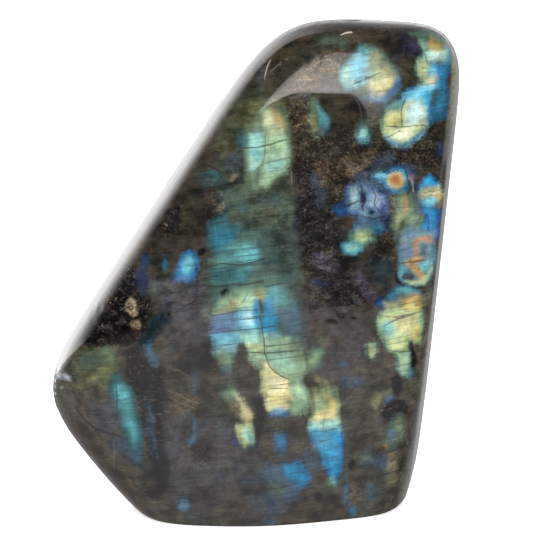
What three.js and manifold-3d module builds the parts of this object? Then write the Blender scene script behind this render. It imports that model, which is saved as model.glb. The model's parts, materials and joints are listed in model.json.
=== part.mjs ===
// A partly polished labradorite: a free-standing slab of feldspar, ground and polished on its
// front and round its rim, broken and left rough on its back, and sawn flat underneath.
// Millimetres, +Z up. The polished front looks towards -Y. The origin is the middle of the
// stone's bounding box, at the height of the flat base.
//
// The ground facets blend into one smooth convex skin, with one radius for each direction from
// the stone's heart. Small pits are sunk in it where soft mica never took the polish. A lumpy
// sheet cuts it off behind, cleavage plates are taken from that broken back, and a level cut
// makes the base.

import * as THREE from "three";
import { mergeVertices } from "three/addons/utils/BufferGeometryUtils.js";
import Module from "manifold-3d";

const HEART_HEIGHT = 72.9; // the heart's height above the flat base
const SAWN_OFF = { width: 300, depth: 200, height: 100 }; // block that the saw cut takes away
const EDGE_ROUNDNESS = 3.3; // half the radius of the edge between two facets at right angles

// Ground facets. A rim facet looks outwards round the slab's outline: "around" is its bearing
// in the XZ plane, from +X towards +Z, and "lean" turns it towards the front. A front facet
// looks towards -Y, with "turn" to the right and "tip" upwards. Distances are from the heart.
const RIM_FACETS = [
  { name: "left flank", around: 147, lean: 0, distance: 50.8 },
  { name: "shoulder", around: 121, lean: 0, distance: 76.4 },
  { name: "top", around: 87.6, lean: -2, distance: 94.7 },
  { name: "top right", around: 36.5, lean: 2, distance: 99.5 },
  { name: "right flank", around: -5.8, lean: 4, distance: 53.6 },
  { name: "lower right", around: -31, lean: 2, distance: 79.5 },
  { name: "bottom left", around: 238.5, lean: 0, distance: 87.4 },
  { name: "lower left", around: 220.5, lean: -2, distance: 85 },
  { name: "left tip", around: 178.5, lean: 0, distance: 76.6 },
];
const FRONT_FACETS = [
  { name: "front", turn: -4, tip: 5, distance: 24.5 },
  { name: "front upper", turn: 2, tip: 13, distance: 30 },
  { name: "brow", turn: -2, tip: 34, distance: 55.5 },
  { name: "right cheek", turn: 17, tip: 4, distance: 32 },
  { name: "left cheek", turn: -18, tip: 3, distance: 36 },
  { name: "foot", turn: -6, tip: -8, distance: 33.5 },
  { name: "right toe", turn: 23, tip: -12, distance: 34.8 },
  { name: "right heel", turn: 68, tip: -18, distance: 59.3 },
  { name: "left heel", turn: -48, tip: -20, distance: 64.4 },
  { name: "unground back", turn: 180, tip: 0, distance: 44 },
];

// The broken back is a lumpy sheet, the nearest of these planes at each point, with natural
// lumps on it. "turn" is towards +X, "tip" upwards, and distances are from the heart.
const BACK_PLANES = [
  { turn: 0, tip: 7, distance: 26 },
  { turn: 24, tip: 4, distance: 37 },
  { turn: -26, tip: 8, distance: 41 },
  { turn: 4, tip: 34, distance: 62 },
  { turn: -6, tip: -20, distance: 44 },
  { turn: -40, tip: -16, distance: 62 },
];
const BACK_LUMPS = [
  { length: 23, height: 2.2 },
  { length: 9.5, height: 1.0 },
];
const BACK_SHEET = { left: -90, right: 78, bottom: -84, top: 106, front: -60, square: 3.6 };

// Cleavage plates gone from the back. Each bared face lies "drop" under the back's planes at
// its "seat" and has its own "turn" and "tip"; seats and outlines are [x, z] points.
const PLATE_REACH = 45; // how far each plate's cut runs out past the back
const PLATE_DRAFT = 0.1; // how much wider the cut is at its outer end
const PLATES = [
  {
    name: "top plate",
    seat: [14, 72],
    drop: 3.4,
    turn: -3,
    tip: 9,
    outline: [[-34, 112], [-15, 60], [-3, 56], [4, 62], [17, 59], [25, 51], [38, 54], [50, 112]],
  },
  {
    name: "right plate",
    seat: [42, 24],
    drop: 4.5,
    turn: 22,
    tip: 5,
    outline: [[90, 45], [41, 41], [29, 39], [26, 24], [33, 13], [29, -4], [38, -10], [90, -15]],
  },
  {
    name: "left plate",
    seat: [-42, 12],
    drop: 3.6,
    turn: -23,
    tip: 10,
    outline: [[-95, 43], [-38, 37], [-31, 25], [-42, 13], [-39, -2], [-51, -9], [-95, -12]],
  },
  {
    name: "lower left plate",
    seat: [-40, -44],
    drop: 5.5,
    turn: -20,
    tip: -12,
    outline: [
      [-95, -25],
      [-57, -22],
      [-47, -33],
      [-33, -35],
      [-29, -50],
      [-17, -57],
      [-12, -95],
      [-95, -95],
    ],
  },
  {
    name: "middle plate",
    seat: [-3, 2],
    drop: 2.8,
    turn: 2,
    tip: 4,
    outline: [
      [-22, 22],
      [-4, 29],
      [7, 25],
      [13, 6],
      [21, -4],
      [15, -25],
      [-5, -31],
      [-13, -12],
      [-26, -3],
    ],
  },
  {
    name: "inner plate",
    seat: [3, -14],
    drop: 4.8,
    turn: 4,
    tip: 9,
    outline: [[-9, -8], [2, 1], [10, -3], [12, -17], [5, -26], [-6, -22]],
  },
  {
    name: "base plate",
    seat: [22, -60],
    drop: 4,
    turn: 5,
    tip: -24,
    outline: [[0, -95], [-3, -62], [9, -53], [21, -56], [27, -45], [42, -49], [64, -95]],
  },
];

// Pits of the polished skin, where clots of soft mica crumbled out. "at" is [x, z].
const PITS = [
  { name: "left clot", at: [-54, -4], reach: [9, 9], depth: 1.1 },
  { name: "middle clot", at: [20, 1.5], reach: [9, 6], depth: 0.9 },
  { name: "brow clot", at: [14, 77], reach: [7, 5], depth: 0.9 },
  { name: "right clot", at: [43, -45], reach: [5, 5], depth: 0.8 },
  { name: "left nick", at: [-72.5, -27], reach: [3.5, 3], depth: 0.8 },
];
const PIT_CRUMBS = { length: 4, share: 0.5 }; // lumps of a pit's floor, as a share of its depth
const PIT_FLOOR = 0.5; // share of a pit's reach at which its floor starts

// The skin's grid: a box wrapped round the heart, with this many squares along X, Y and Z,
// and spread over an ellipsoid of about the slab's own proportions.
const GRID = [32, 12, 40];
const SPREAD = new THREE.Vector3(68, 30, 84);
const NEWTON_STEPS = 14;

const radians = THREE.MathUtils.degToRad;
const smooth = (t) => THREE.MathUtils.smoothstep(t, 0, 1);

function rimNormal({ around, lean }) {
  const [a, l] = [radians(around), radians(lean)];
  return new THREE.Vector3(
    Math.cos(l) * Math.cos(a),
    -Math.sin(l),
    Math.cos(l) * Math.sin(a),
  );
}

function frontNormal({ turn, tip }) {
  const [t, p] = [radians(turn), radians(tip)];
  return new THREE.Vector3(
    Math.sin(t) * Math.cos(p),
    -Math.cos(t) * Math.cos(p),
    Math.sin(p),
  );
}

function backNormal(plane) {
  const normal = frontNormal(plane);
  normal.y = -normal.y;
  return normal;
}

const withNormal = (normalOf) => (facet) => ({ ...facet, normal: normalOf(facet) });
const groundFacets = [
  ...RIM_FACETS.map(withNormal(rimNormal)),
  ...FRONT_FACETS.map(withNormal(frontNormal)),
];
const backPlanes = BACK_PLANES.map(withNormal(backNormal));

// A repeatable number from 0 to 1 for each point of the whole-number lattice.
function latticeValue(i, j, k) {
  const s = Math.sin(i * 127.1 + j * 311.7 + k * 74.7) * 43758.5453;
  return s - Math.floor(s);
}

// Smooth lumps from -1 to 1, one lattice cell apart.
function lumps(x, y, z) {
  const [i, j, k] = [x, y, z].map(Math.floor);
  const [u, v, w] = [x - i, y - j, z - k].map(smooth);
  const mix = THREE.MathUtils.lerp;
  const along = (b, c) => mix(latticeValue(i, b, c), latticeValue(i + 1, b, c), u);
  const across = (c) => mix(along(j, c), along(j + 1, c), v);
  return 2 * mix(across(k), across(k + 1), w) - 1;
}

// How far the polished skin lies from the heart in a direction. The facets' distances are
// blended by a soft maximum, which Newton's method meets from outside.
function polishedRadius(direction) {
  let radius = Infinity;
  for (const { normal, distance } of groundFacets) {
    const facing = normal.dot(direction);
    if (facing > 0) radius = Math.min(radius, distance / facing);
  }
  for (let step = 0; step < NEWTON_STEPS; step++) {
    let [sum, slope] = [0, 0];
    for (const { normal, distance } of groundFacets) {
      const facing = normal.dot(direction);
      const weight = Math.exp((radius * facing - distance) / EDGE_ROUNDNESS);
      sum += weight;
      slope += weight * facing;
    }
    radius -= (EDGE_ROUNDNESS * Math.log(sum) * sum) / slope;
  }
  return radius;
}

// How deep the pits are at a point of the polished skin.
function pitDepth(point) {
  const [x, y, z] = point.toArray().map((v) => v / PIT_CRUMBS.length);
  const crumbs = 1 + PIT_CRUMBS.share * lumps(x, y, z);
  const depths = PITS.map(({ at, reach, depth }) => {
    const away = Math.hypot((point.x - at[0]) / reach[0], (point.z - at[1]) / reach[1]);
    return depth * crumbs * smooth((1 - away) / (1 - PIT_FLOOR));
  });
  return Math.max(...depths);
}

// A closed mesh of a three.js geometry: corners only, each of them once.
function closed(geometry) {
  geometry.deleteAttribute("normal");
  geometry.deleteAttribute("uv");
  return mergeVertices(geometry, 1e-4);
}

function moveCorners(geometry, move) {
  const corners = geometry.getAttribute("position");
  const point = new THREE.Vector3();
  for (let i = 0; i < corners.count; i++) {
    move(point.fromBufferAttribute(corners, i));
    corners.setXYZ(i, point.x, point.y, point.z);
  }
  return geometry;
}

// The polished skin: a gridded box whose every corner is pushed out to its own radius.
function polishedSkin() {
  const box = closed(new THREE.BoxGeometry(2, 2, 2, ...GRID));
  return moveCorners(box, (point) => {
    const direction = point.normalize().multiply(SPREAD).normalize().clone();
    point.multiplyScalar(polishedRadius(direction));
    if (direction.y < 0) point.addScaledVector(direction, -pitDepth(point));
  });
}

// The depth, y, of the back's planes at [x, z].
function planesDepth(x, z) {
  const depths = backPlanes.map(
    ({ normal, distance }) => (distance - normal.x * x - normal.z * z) / normal.y,
  );
  return Math.min(...depths);
}

// The same with the natural lumps.
function backDepth(x, z) {
  let depth = planesDepth(x, z);
  for (const { length, height } of BACK_LUMPS)
    depth += height * lumps(x / length, length, z / length);
  return depth;
}

// Everything in front of the broken back, as one block with a lumpy rear.
function inFrontOfBack() {
  const { left, right, bottom, top, front, square } = BACK_SHEET;
  const [width, height] = [right - left, top - bottom];
  const squares = [Math.round(width / square), 1, Math.round(height / square)];
  const block = closed(new THREE.BoxGeometry(width, 2, height, ...squares));
  block.translate((left + right) / 2, 0, (bottom + top) / 2);
  return moveCorners(block, (point) => {
    point.y = point.y > 0 ? backDepth(point.x, point.z) : front;
  });
}

// The space of one lost cleavage plate, from its bared face out past the back.
function lostPlate({ seat: [seatX, seatZ], drop, turn, tip, outline }) {
  const corners = outline.map(([x, z]) => new THREE.Vector2(x - seatX, z - seatZ));
  const cut = closed(
    new THREE.ExtrudeGeometry(new THREE.Shape(corners), {
      depth: PLATE_REACH,
      bevelEnabled: false,
    })
      .translate(0, 0, -PLATE_REACH)
      .rotateX(Math.PI / 2),
  );
  moveCorners(cut, (point) => {
    const spread = 1 + (point.y > PLATE_REACH / 2 ? PLATE_DRAFT : 0);
    point.set(point.x * spread, point.y, point.z * spread);
  });
  return cut
    .rotateX(radians(tip))
    .rotateZ(radians(-turn))
    .translate(seatX, planesDepth(seatX, seatZ) - drop, seatZ);
}

// Everything below the base's level, as one block for the saw cut.
function belowBase() {
  const { width, depth, height } = SAWN_OFF;
  const block = closed(new THREE.BoxGeometry(width, depth, height));
  return block.translate(0, 0, -HEART_HEIGHT - height / 2);
}

const wasm = await Module();
wasm.setup();

function solidFrom(geometry) {
  return new wasm.Manifold(
    new wasm.Mesh({
      numProp: 3,
      vertProperties: geometry.getAttribute("position").array,
      triVerts: new Uint32Array(geometry.index.array),
    }),
  );
}

function geometryFrom(solid) {
  const { vertProperties, triVerts } = solid.getMesh();
  return new THREE.BufferGeometry()
    .setAttribute("position", new THREE.BufferAttribute(vertProperties, 3))
    .setIndex(new THREE.BufferAttribute(triVerts, 1));
}

function labradorite() {
  let solid = solidFrom(polishedSkin()).intersect(solidFrom(inFrontOfBack()));
  for (const plate of PLATES) solid = solid.subtract(solidFrom(lostPlate(plate)));
  solid = solid.subtract(solidFrom(belowBase()));
  const geometry = geometryFrom(solid);
  geometry.computeBoundingBox();
  const { min, max } = geometry.boundingBox;
  geometry.translate(-(min.x + max.x) / 2, -(min.y + max.y) / 2, -min.z);
  geometry.computeVertexNormals();
  const stone = new THREE.Mesh(
    geometry,
    new THREE.MeshStandardMaterial({ color: 0x3f4038, roughness: 0.25, metalness: 0 }),
  );
  stone.name = "labradorite";
  return stone;
}

const part = new THREE.Group();
part.add(labradorite());
export default part;
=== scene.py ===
"""The looks of a partly polished labradorite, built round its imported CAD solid."""

import json
import math

import bpy
import numpy as np
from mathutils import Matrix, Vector
from mathutils.bvhtree import BVHTree

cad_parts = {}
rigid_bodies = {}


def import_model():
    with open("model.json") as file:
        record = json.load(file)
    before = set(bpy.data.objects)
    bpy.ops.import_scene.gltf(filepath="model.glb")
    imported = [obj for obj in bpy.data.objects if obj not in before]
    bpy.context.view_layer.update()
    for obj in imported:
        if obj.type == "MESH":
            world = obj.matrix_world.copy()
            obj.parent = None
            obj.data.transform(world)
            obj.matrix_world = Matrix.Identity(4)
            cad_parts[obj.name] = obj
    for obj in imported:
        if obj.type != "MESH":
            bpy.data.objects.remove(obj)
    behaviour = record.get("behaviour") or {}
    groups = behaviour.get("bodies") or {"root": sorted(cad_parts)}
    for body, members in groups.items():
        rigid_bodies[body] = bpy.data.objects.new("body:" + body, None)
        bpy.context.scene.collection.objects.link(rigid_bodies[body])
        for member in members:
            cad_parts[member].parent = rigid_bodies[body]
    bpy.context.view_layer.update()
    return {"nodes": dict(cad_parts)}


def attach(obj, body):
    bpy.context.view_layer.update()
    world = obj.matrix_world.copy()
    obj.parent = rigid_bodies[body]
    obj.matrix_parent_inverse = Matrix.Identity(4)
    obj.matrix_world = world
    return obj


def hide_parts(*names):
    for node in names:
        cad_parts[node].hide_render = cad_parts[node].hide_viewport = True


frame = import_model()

MM = 0.001

# ---------------------------------------------------------------- the shape
# The stone's heart, in the part's frame, and the ground facets round it, as in the CAD
# source: (bearing or turn, lean or tip, distance) in degrees and millimetres.
HEART = np.array([6.86, -3.68, 72.9])
EDGE_ROUNDNESS = 3.3
RIM_FACETS = {
    "left flank": (147, 0, 50.8),
    "shoulder": (121, 0, 76.4),
    "top": (87.6, -2, 94.7),
    "top right": (36.5, 2, 99.5),
    "right flank": (-5.8, 4, 53.6),
    "lower right": (-31, 2, 79.5),
    "bottom left": (238.5, 0, 87.4),
    "lower left": (220.5, -2, 85),
    "left tip": (178.5, 0, 76.6),
}
FRONT_FACETS = {
    "front": (-4, 5, 24.5),
    "front upper": (2, 13, 30),
    "brow": (-2, 34, 55.5),
    "right cheek": (17, 4, 32),
    "left cheek": (-18, 3, 36),
    "foot": (-6, -8, 33.5),
    "right toe": (23, -12, 34.8),
    "right heel": (68, -18, 59.3),
    "left heel": (-48, -20, 64.4),
    "unground back": (180, 0, 44),
}
NEWTON_STEPS = 14
TINY = 1e-6  # keeps divisions away from nothing
BASE_EASE = 0.9  # mm over which the rim melts into the sawn base
ROUGH_GAP = (0.15, 0.5)  # mm behind the polished skin where the break is bare

# Pits where clots of soft mica crumbled out: (x, z, reach along x, reach along z, depth).
PITS = {
    "left clot": (-54, -4, 8, 8, 0.45),
    "middle clot": (20, 1.5, 9, 6, 0.5),
    "brow clot": (13, 78, 7, 4.5, 0.3),
    "right clot": (43, -45, 5, 5, 0.8),
    "left nick": (-72.5, -27, 3.5, 3, 0.8),
}
PIT_CRUMB_LENGTH = 2.4
PIT_CRUMBS = (0.05, 0.7)
PIT_EDGE = (1, 0.5)  # a pit's share of its reach where it starts and where it is full
LATTICE_STEPS, LATTICE_STIR = (127.1, 311.7, 74.7), 43758.5453

GRID = (96, 38, 120)  # squares of the skin's grid along X, Y and Z
FINE_ROWS = 17  # rows behind the front that are split as finely as it is
SPREAD = np.array([68, 30, 84])  # the rough half sizes that the grid is fitted to


def unit(vectors):
    return vectors / np.linalg.norm(vectors, axis=-1, keepdims=True)


def rim_normal(around, lean):
    a, l = math.radians(around), math.radians(lean)
    return (math.cos(l) * math.cos(a), -math.sin(l), math.cos(l) * math.sin(a))


def front_normal(turn, tip):
    t, p = math.radians(turn), math.radians(tip)
    return (math.sin(t) * math.cos(p), -math.cos(t) * math.cos(p), math.sin(p))


FACET_NORMALS = np.array(
    [rim_normal(a, l) for a, l, _ in RIM_FACETS.values()]
    + [front_normal(t, p) for t, p, _ in FRONT_FACETS.values()]
)
FACET_DISTANCES = np.array([d for *_, d in [*RIM_FACETS.values(), *FRONT_FACETS.values()]])


def lattice_value(i, j, k):
    """A repeatable number from 0 to 1 for each point of the whole-number lattice."""
    across, along, up = LATTICE_STEPS
    stirred = np.sin(i * across + j * along + k * up) * LATTICE_STIR
    return stirred - np.floor(stirred)


def lumps(points):
    """Smooth lumps from -1 to 1, one lattice cell apart."""
    cell = np.floor(points)
    t = points - cell
    t = t * t * (3 - 2 * t)
    total = 0
    for a in (0, 1):
        for b in (0, 1):
            for c in (0, 1):
                weight = np.abs([1 - a, 1 - b, 1 - c] - t).prod(axis=-1)
                total = total + weight * lattice_value(*(cell + [a, b, c]).T)
    return 2 * total - 1


def polished_radius(directions):
    """How far the polished skin lies from the heart: a soft maximum of the facets."""
    facing = directions @ FACET_NORMALS.T
    reach = np.where(facing > TINY, FACET_DISTANCES / np.maximum(facing, TINY), np.inf)
    radius = reach.min(axis=1)
    for _ in range(NEWTON_STEPS):
        weight = np.exp((radius[:, None] * facing - FACET_DISTANCES) / EDGE_ROUNDNESS)
        total = weight.sum(axis=1)
        slope = (weight * facing).sum(axis=1)
        radius = radius - EDGE_ROUNDNESS * np.log(total) * total / slope
    return radius


def smoothstep(low, high, x):
    t = np.clip((x - low) / (high - low), 0, 1)
    return t * t * (3 - 2 * t)


def pit_depth(points):
    crumbs = smoothstep(*PIT_CRUMBS, lumps(points / PIT_CRUMB_LENGTH))
    deepest = np.zeros(len(points))
    for x, z, reach_x, reach_z, depth in PITS.values():
        away = np.hypot((points[:, 0] - x) / reach_x, (points[:, 2] - z) / reach_z)
        deepest = np.maximum(deepest, depth * crumbs * smoothstep(*PIT_EDGE, away))
    return np.where(points[:, 1] < 0, deepest, 0)


def broken_radius(directions, solid):
    """How far off the solid's skin lies, along each direction that points behind."""
    origin = Vector(HEART * MM)
    radius = np.full(len(directions), np.inf)
    for i in np.flatnonzero(directions[:, 1] > 0):
        *_, distance = solid.ray_cast(origin, Vector(directions[i]))
        radius[i] = distance / MM
    return radius


def skin_points(corners, solid):
    """Pushes grid corners out to the stone's skin. Also says how rough each point is."""
    directions = unit(unit(corners) * SPREAD)
    polished = polished_radius(directions)
    down = np.maximum(-directions[:, 2], TINY)
    base = HEART[2] / down
    eased = -BASE_EASE * np.logaddexp(-polished / BASE_EASE, -base / BASE_EASE)
    radius = eased - pit_depth(directions * eased[:, None])
    broken = broken_radius(directions, solid)
    rough = smoothstep(*ROUGH_GAP, np.minimum(polished, base) - broken)
    radius = radius * (1 - rough) + np.where(rough > 0, broken, 0) * rough
    return directions * radius[:, None], rough


class Grid:
    """Corners at whole-number places, each made once."""

    def __init__(self):
        self.places, self.ids = [], {}

    def corner(self, place):
        if place not in self.ids:
            self.ids[place] = len(self.places)
            self.places.append(place)
        return self.ids[place]

    def between(self, i, j):
        return self.corner(tuple((a + b) // 2 for a, b in zip(self.places[i], self.places[j])))


def square(grid, axis, side, a, b):
    """The corners of one square of the box, two apart so that middles fit between."""
    ring = []
    for da, db in ((0, 0), (1, 0), (1, 1), (0, 1)):
        place = [0, 0, 0]
        place[axis] = 2 * side
        place[(axis + 1) % 3] = 2 * (a + da)
        place[(axis + 2) % 3] = 2 * (b + db)
        ring.append(grid.corner(tuple(place)))
    return ring if side else ring[::-1]


def box_squares(grid):
    """The squares of a closed box."""
    squares = []
    for axis in range(3):
        for side in (0, GRID[axis]):
            for a in range(GRID[(axis + 1) % 3]):
                for b in range(GRID[(axis + 2) % 3]):
                    squares.append(square(grid, axis, side, a, b))
    return squares


def quarters(grid, ring):
    """A square cut in four."""
    middles = [grid.between(ring[n], ring[(n + 1) % 4]) for n in range(4)]
    heart = grid.between(ring[0], ring[2])
    return [[ring[n], middles[n], heart, middles[n - 1]] for n in range(4)]


def joined_to_fine(grid, ring, fine):
    """A whole square, with a corner in the middle of each edge that fine squares share."""
    joined = []
    for n in range(4):
        a, b = ring[n], ring[(n + 1) % 4]
        joined.append(a)
        if a in fine and b in fine:
            joined.append(grid.between(a, b))
    return joined


def skin_grid():
    """A box's corners, from -1 to 1, and its faces, finer where they look forward."""
    grid = Grid()
    squares = box_squares(grid)
    fine = {i for i, place in enumerate(grid.places) if place[1] <= 2 * FINE_ROWS}
    faces = []
    for ring in squares:
        if all(i in fine for i in ring):
            faces += quarters(grid, ring)
        else:
            faces.append(joined_to_fine(grid, ring, fine))
    return np.array(grid.places) / np.array(GRID) - 1, faces


def stone_mesh():
    node = frame["nodes"]["labradorite"]
    solid = BVHTree.FromObject(node, bpy.context.evaluated_depsgraph_get())
    corners, faces = skin_grid()
    points, rough = skin_points(corners, solid)
    mesh = bpy.data.meshes.new("stone")
    mesh.from_pydata(((points + HEART) * MM).tolist(), [], faces)
    mesh.update()
    return mesh, points, rough


# ---------------------------------------------------------------- the colours
# sRGB, 0 to 255: the feldspar's own browns and greys, then the flashes' colours.
INK, COAL, UMBER = (22, 21, 23), (36, 33, 34), (47, 41, 33)
EARTH, RUST, OLIVE = (63, 54, 43), (86, 66, 50), (62, 62, 42)
MOSS, KHAKI, ASH = (92, 96, 70), (124, 118, 88), (80, 76, 70)
SMOKE, MAUVE, PLUM = (64, 66, 70), (84, 76, 84), (60, 44, 50)
FAWN, BUFF, BONE = (102, 84, 64), (138, 120, 98), (210, 200, 190)
POOL, MARSH, FOG = (58, 70, 64), (70, 76, 64), (74, 73, 76)
NAVY, INDIGO, VIOLET = (30, 36, 62), (46, 58, 110), (70, 74, 100)
ABYSS, COBALT = (24, 74, 122), (42, 90, 150)
BLUE, AZURE, SKY = (54, 134, 184), (58, 160, 206), (122, 195, 218)
ICE, PEARL, LAVENDER = (196, 228, 232), (186, 188, 194), (150, 168, 206)
PERIWINKLE, DUSK, SLATE = (108, 138, 180), (98, 114, 156), (82, 102, 122)
STEEL, MIST, LAKE = (92, 128, 156), (134, 168, 172), (48, 122, 150)
DEEP_TEAL, TEAL, LAGOON = (32, 52, 58), (58, 108, 118), (96, 162, 166)
CYAN, AQUA, REED = (112, 192, 200), (158, 208, 196), (84, 106, 97)
SAGE, FERN, MINT = (112, 134, 112), (142, 168, 136), (166, 196, 162)
WILLOW, CELERY, STRAW = (158, 160, 118), (192, 202, 150), (206, 190, 120)
CREAM, IVORY, GOLD = (226, 216, 164), (240, 234, 204), (206, 164, 100)
AMBER, COPPER = (190, 128, 72), (158, 100, 70)

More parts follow.
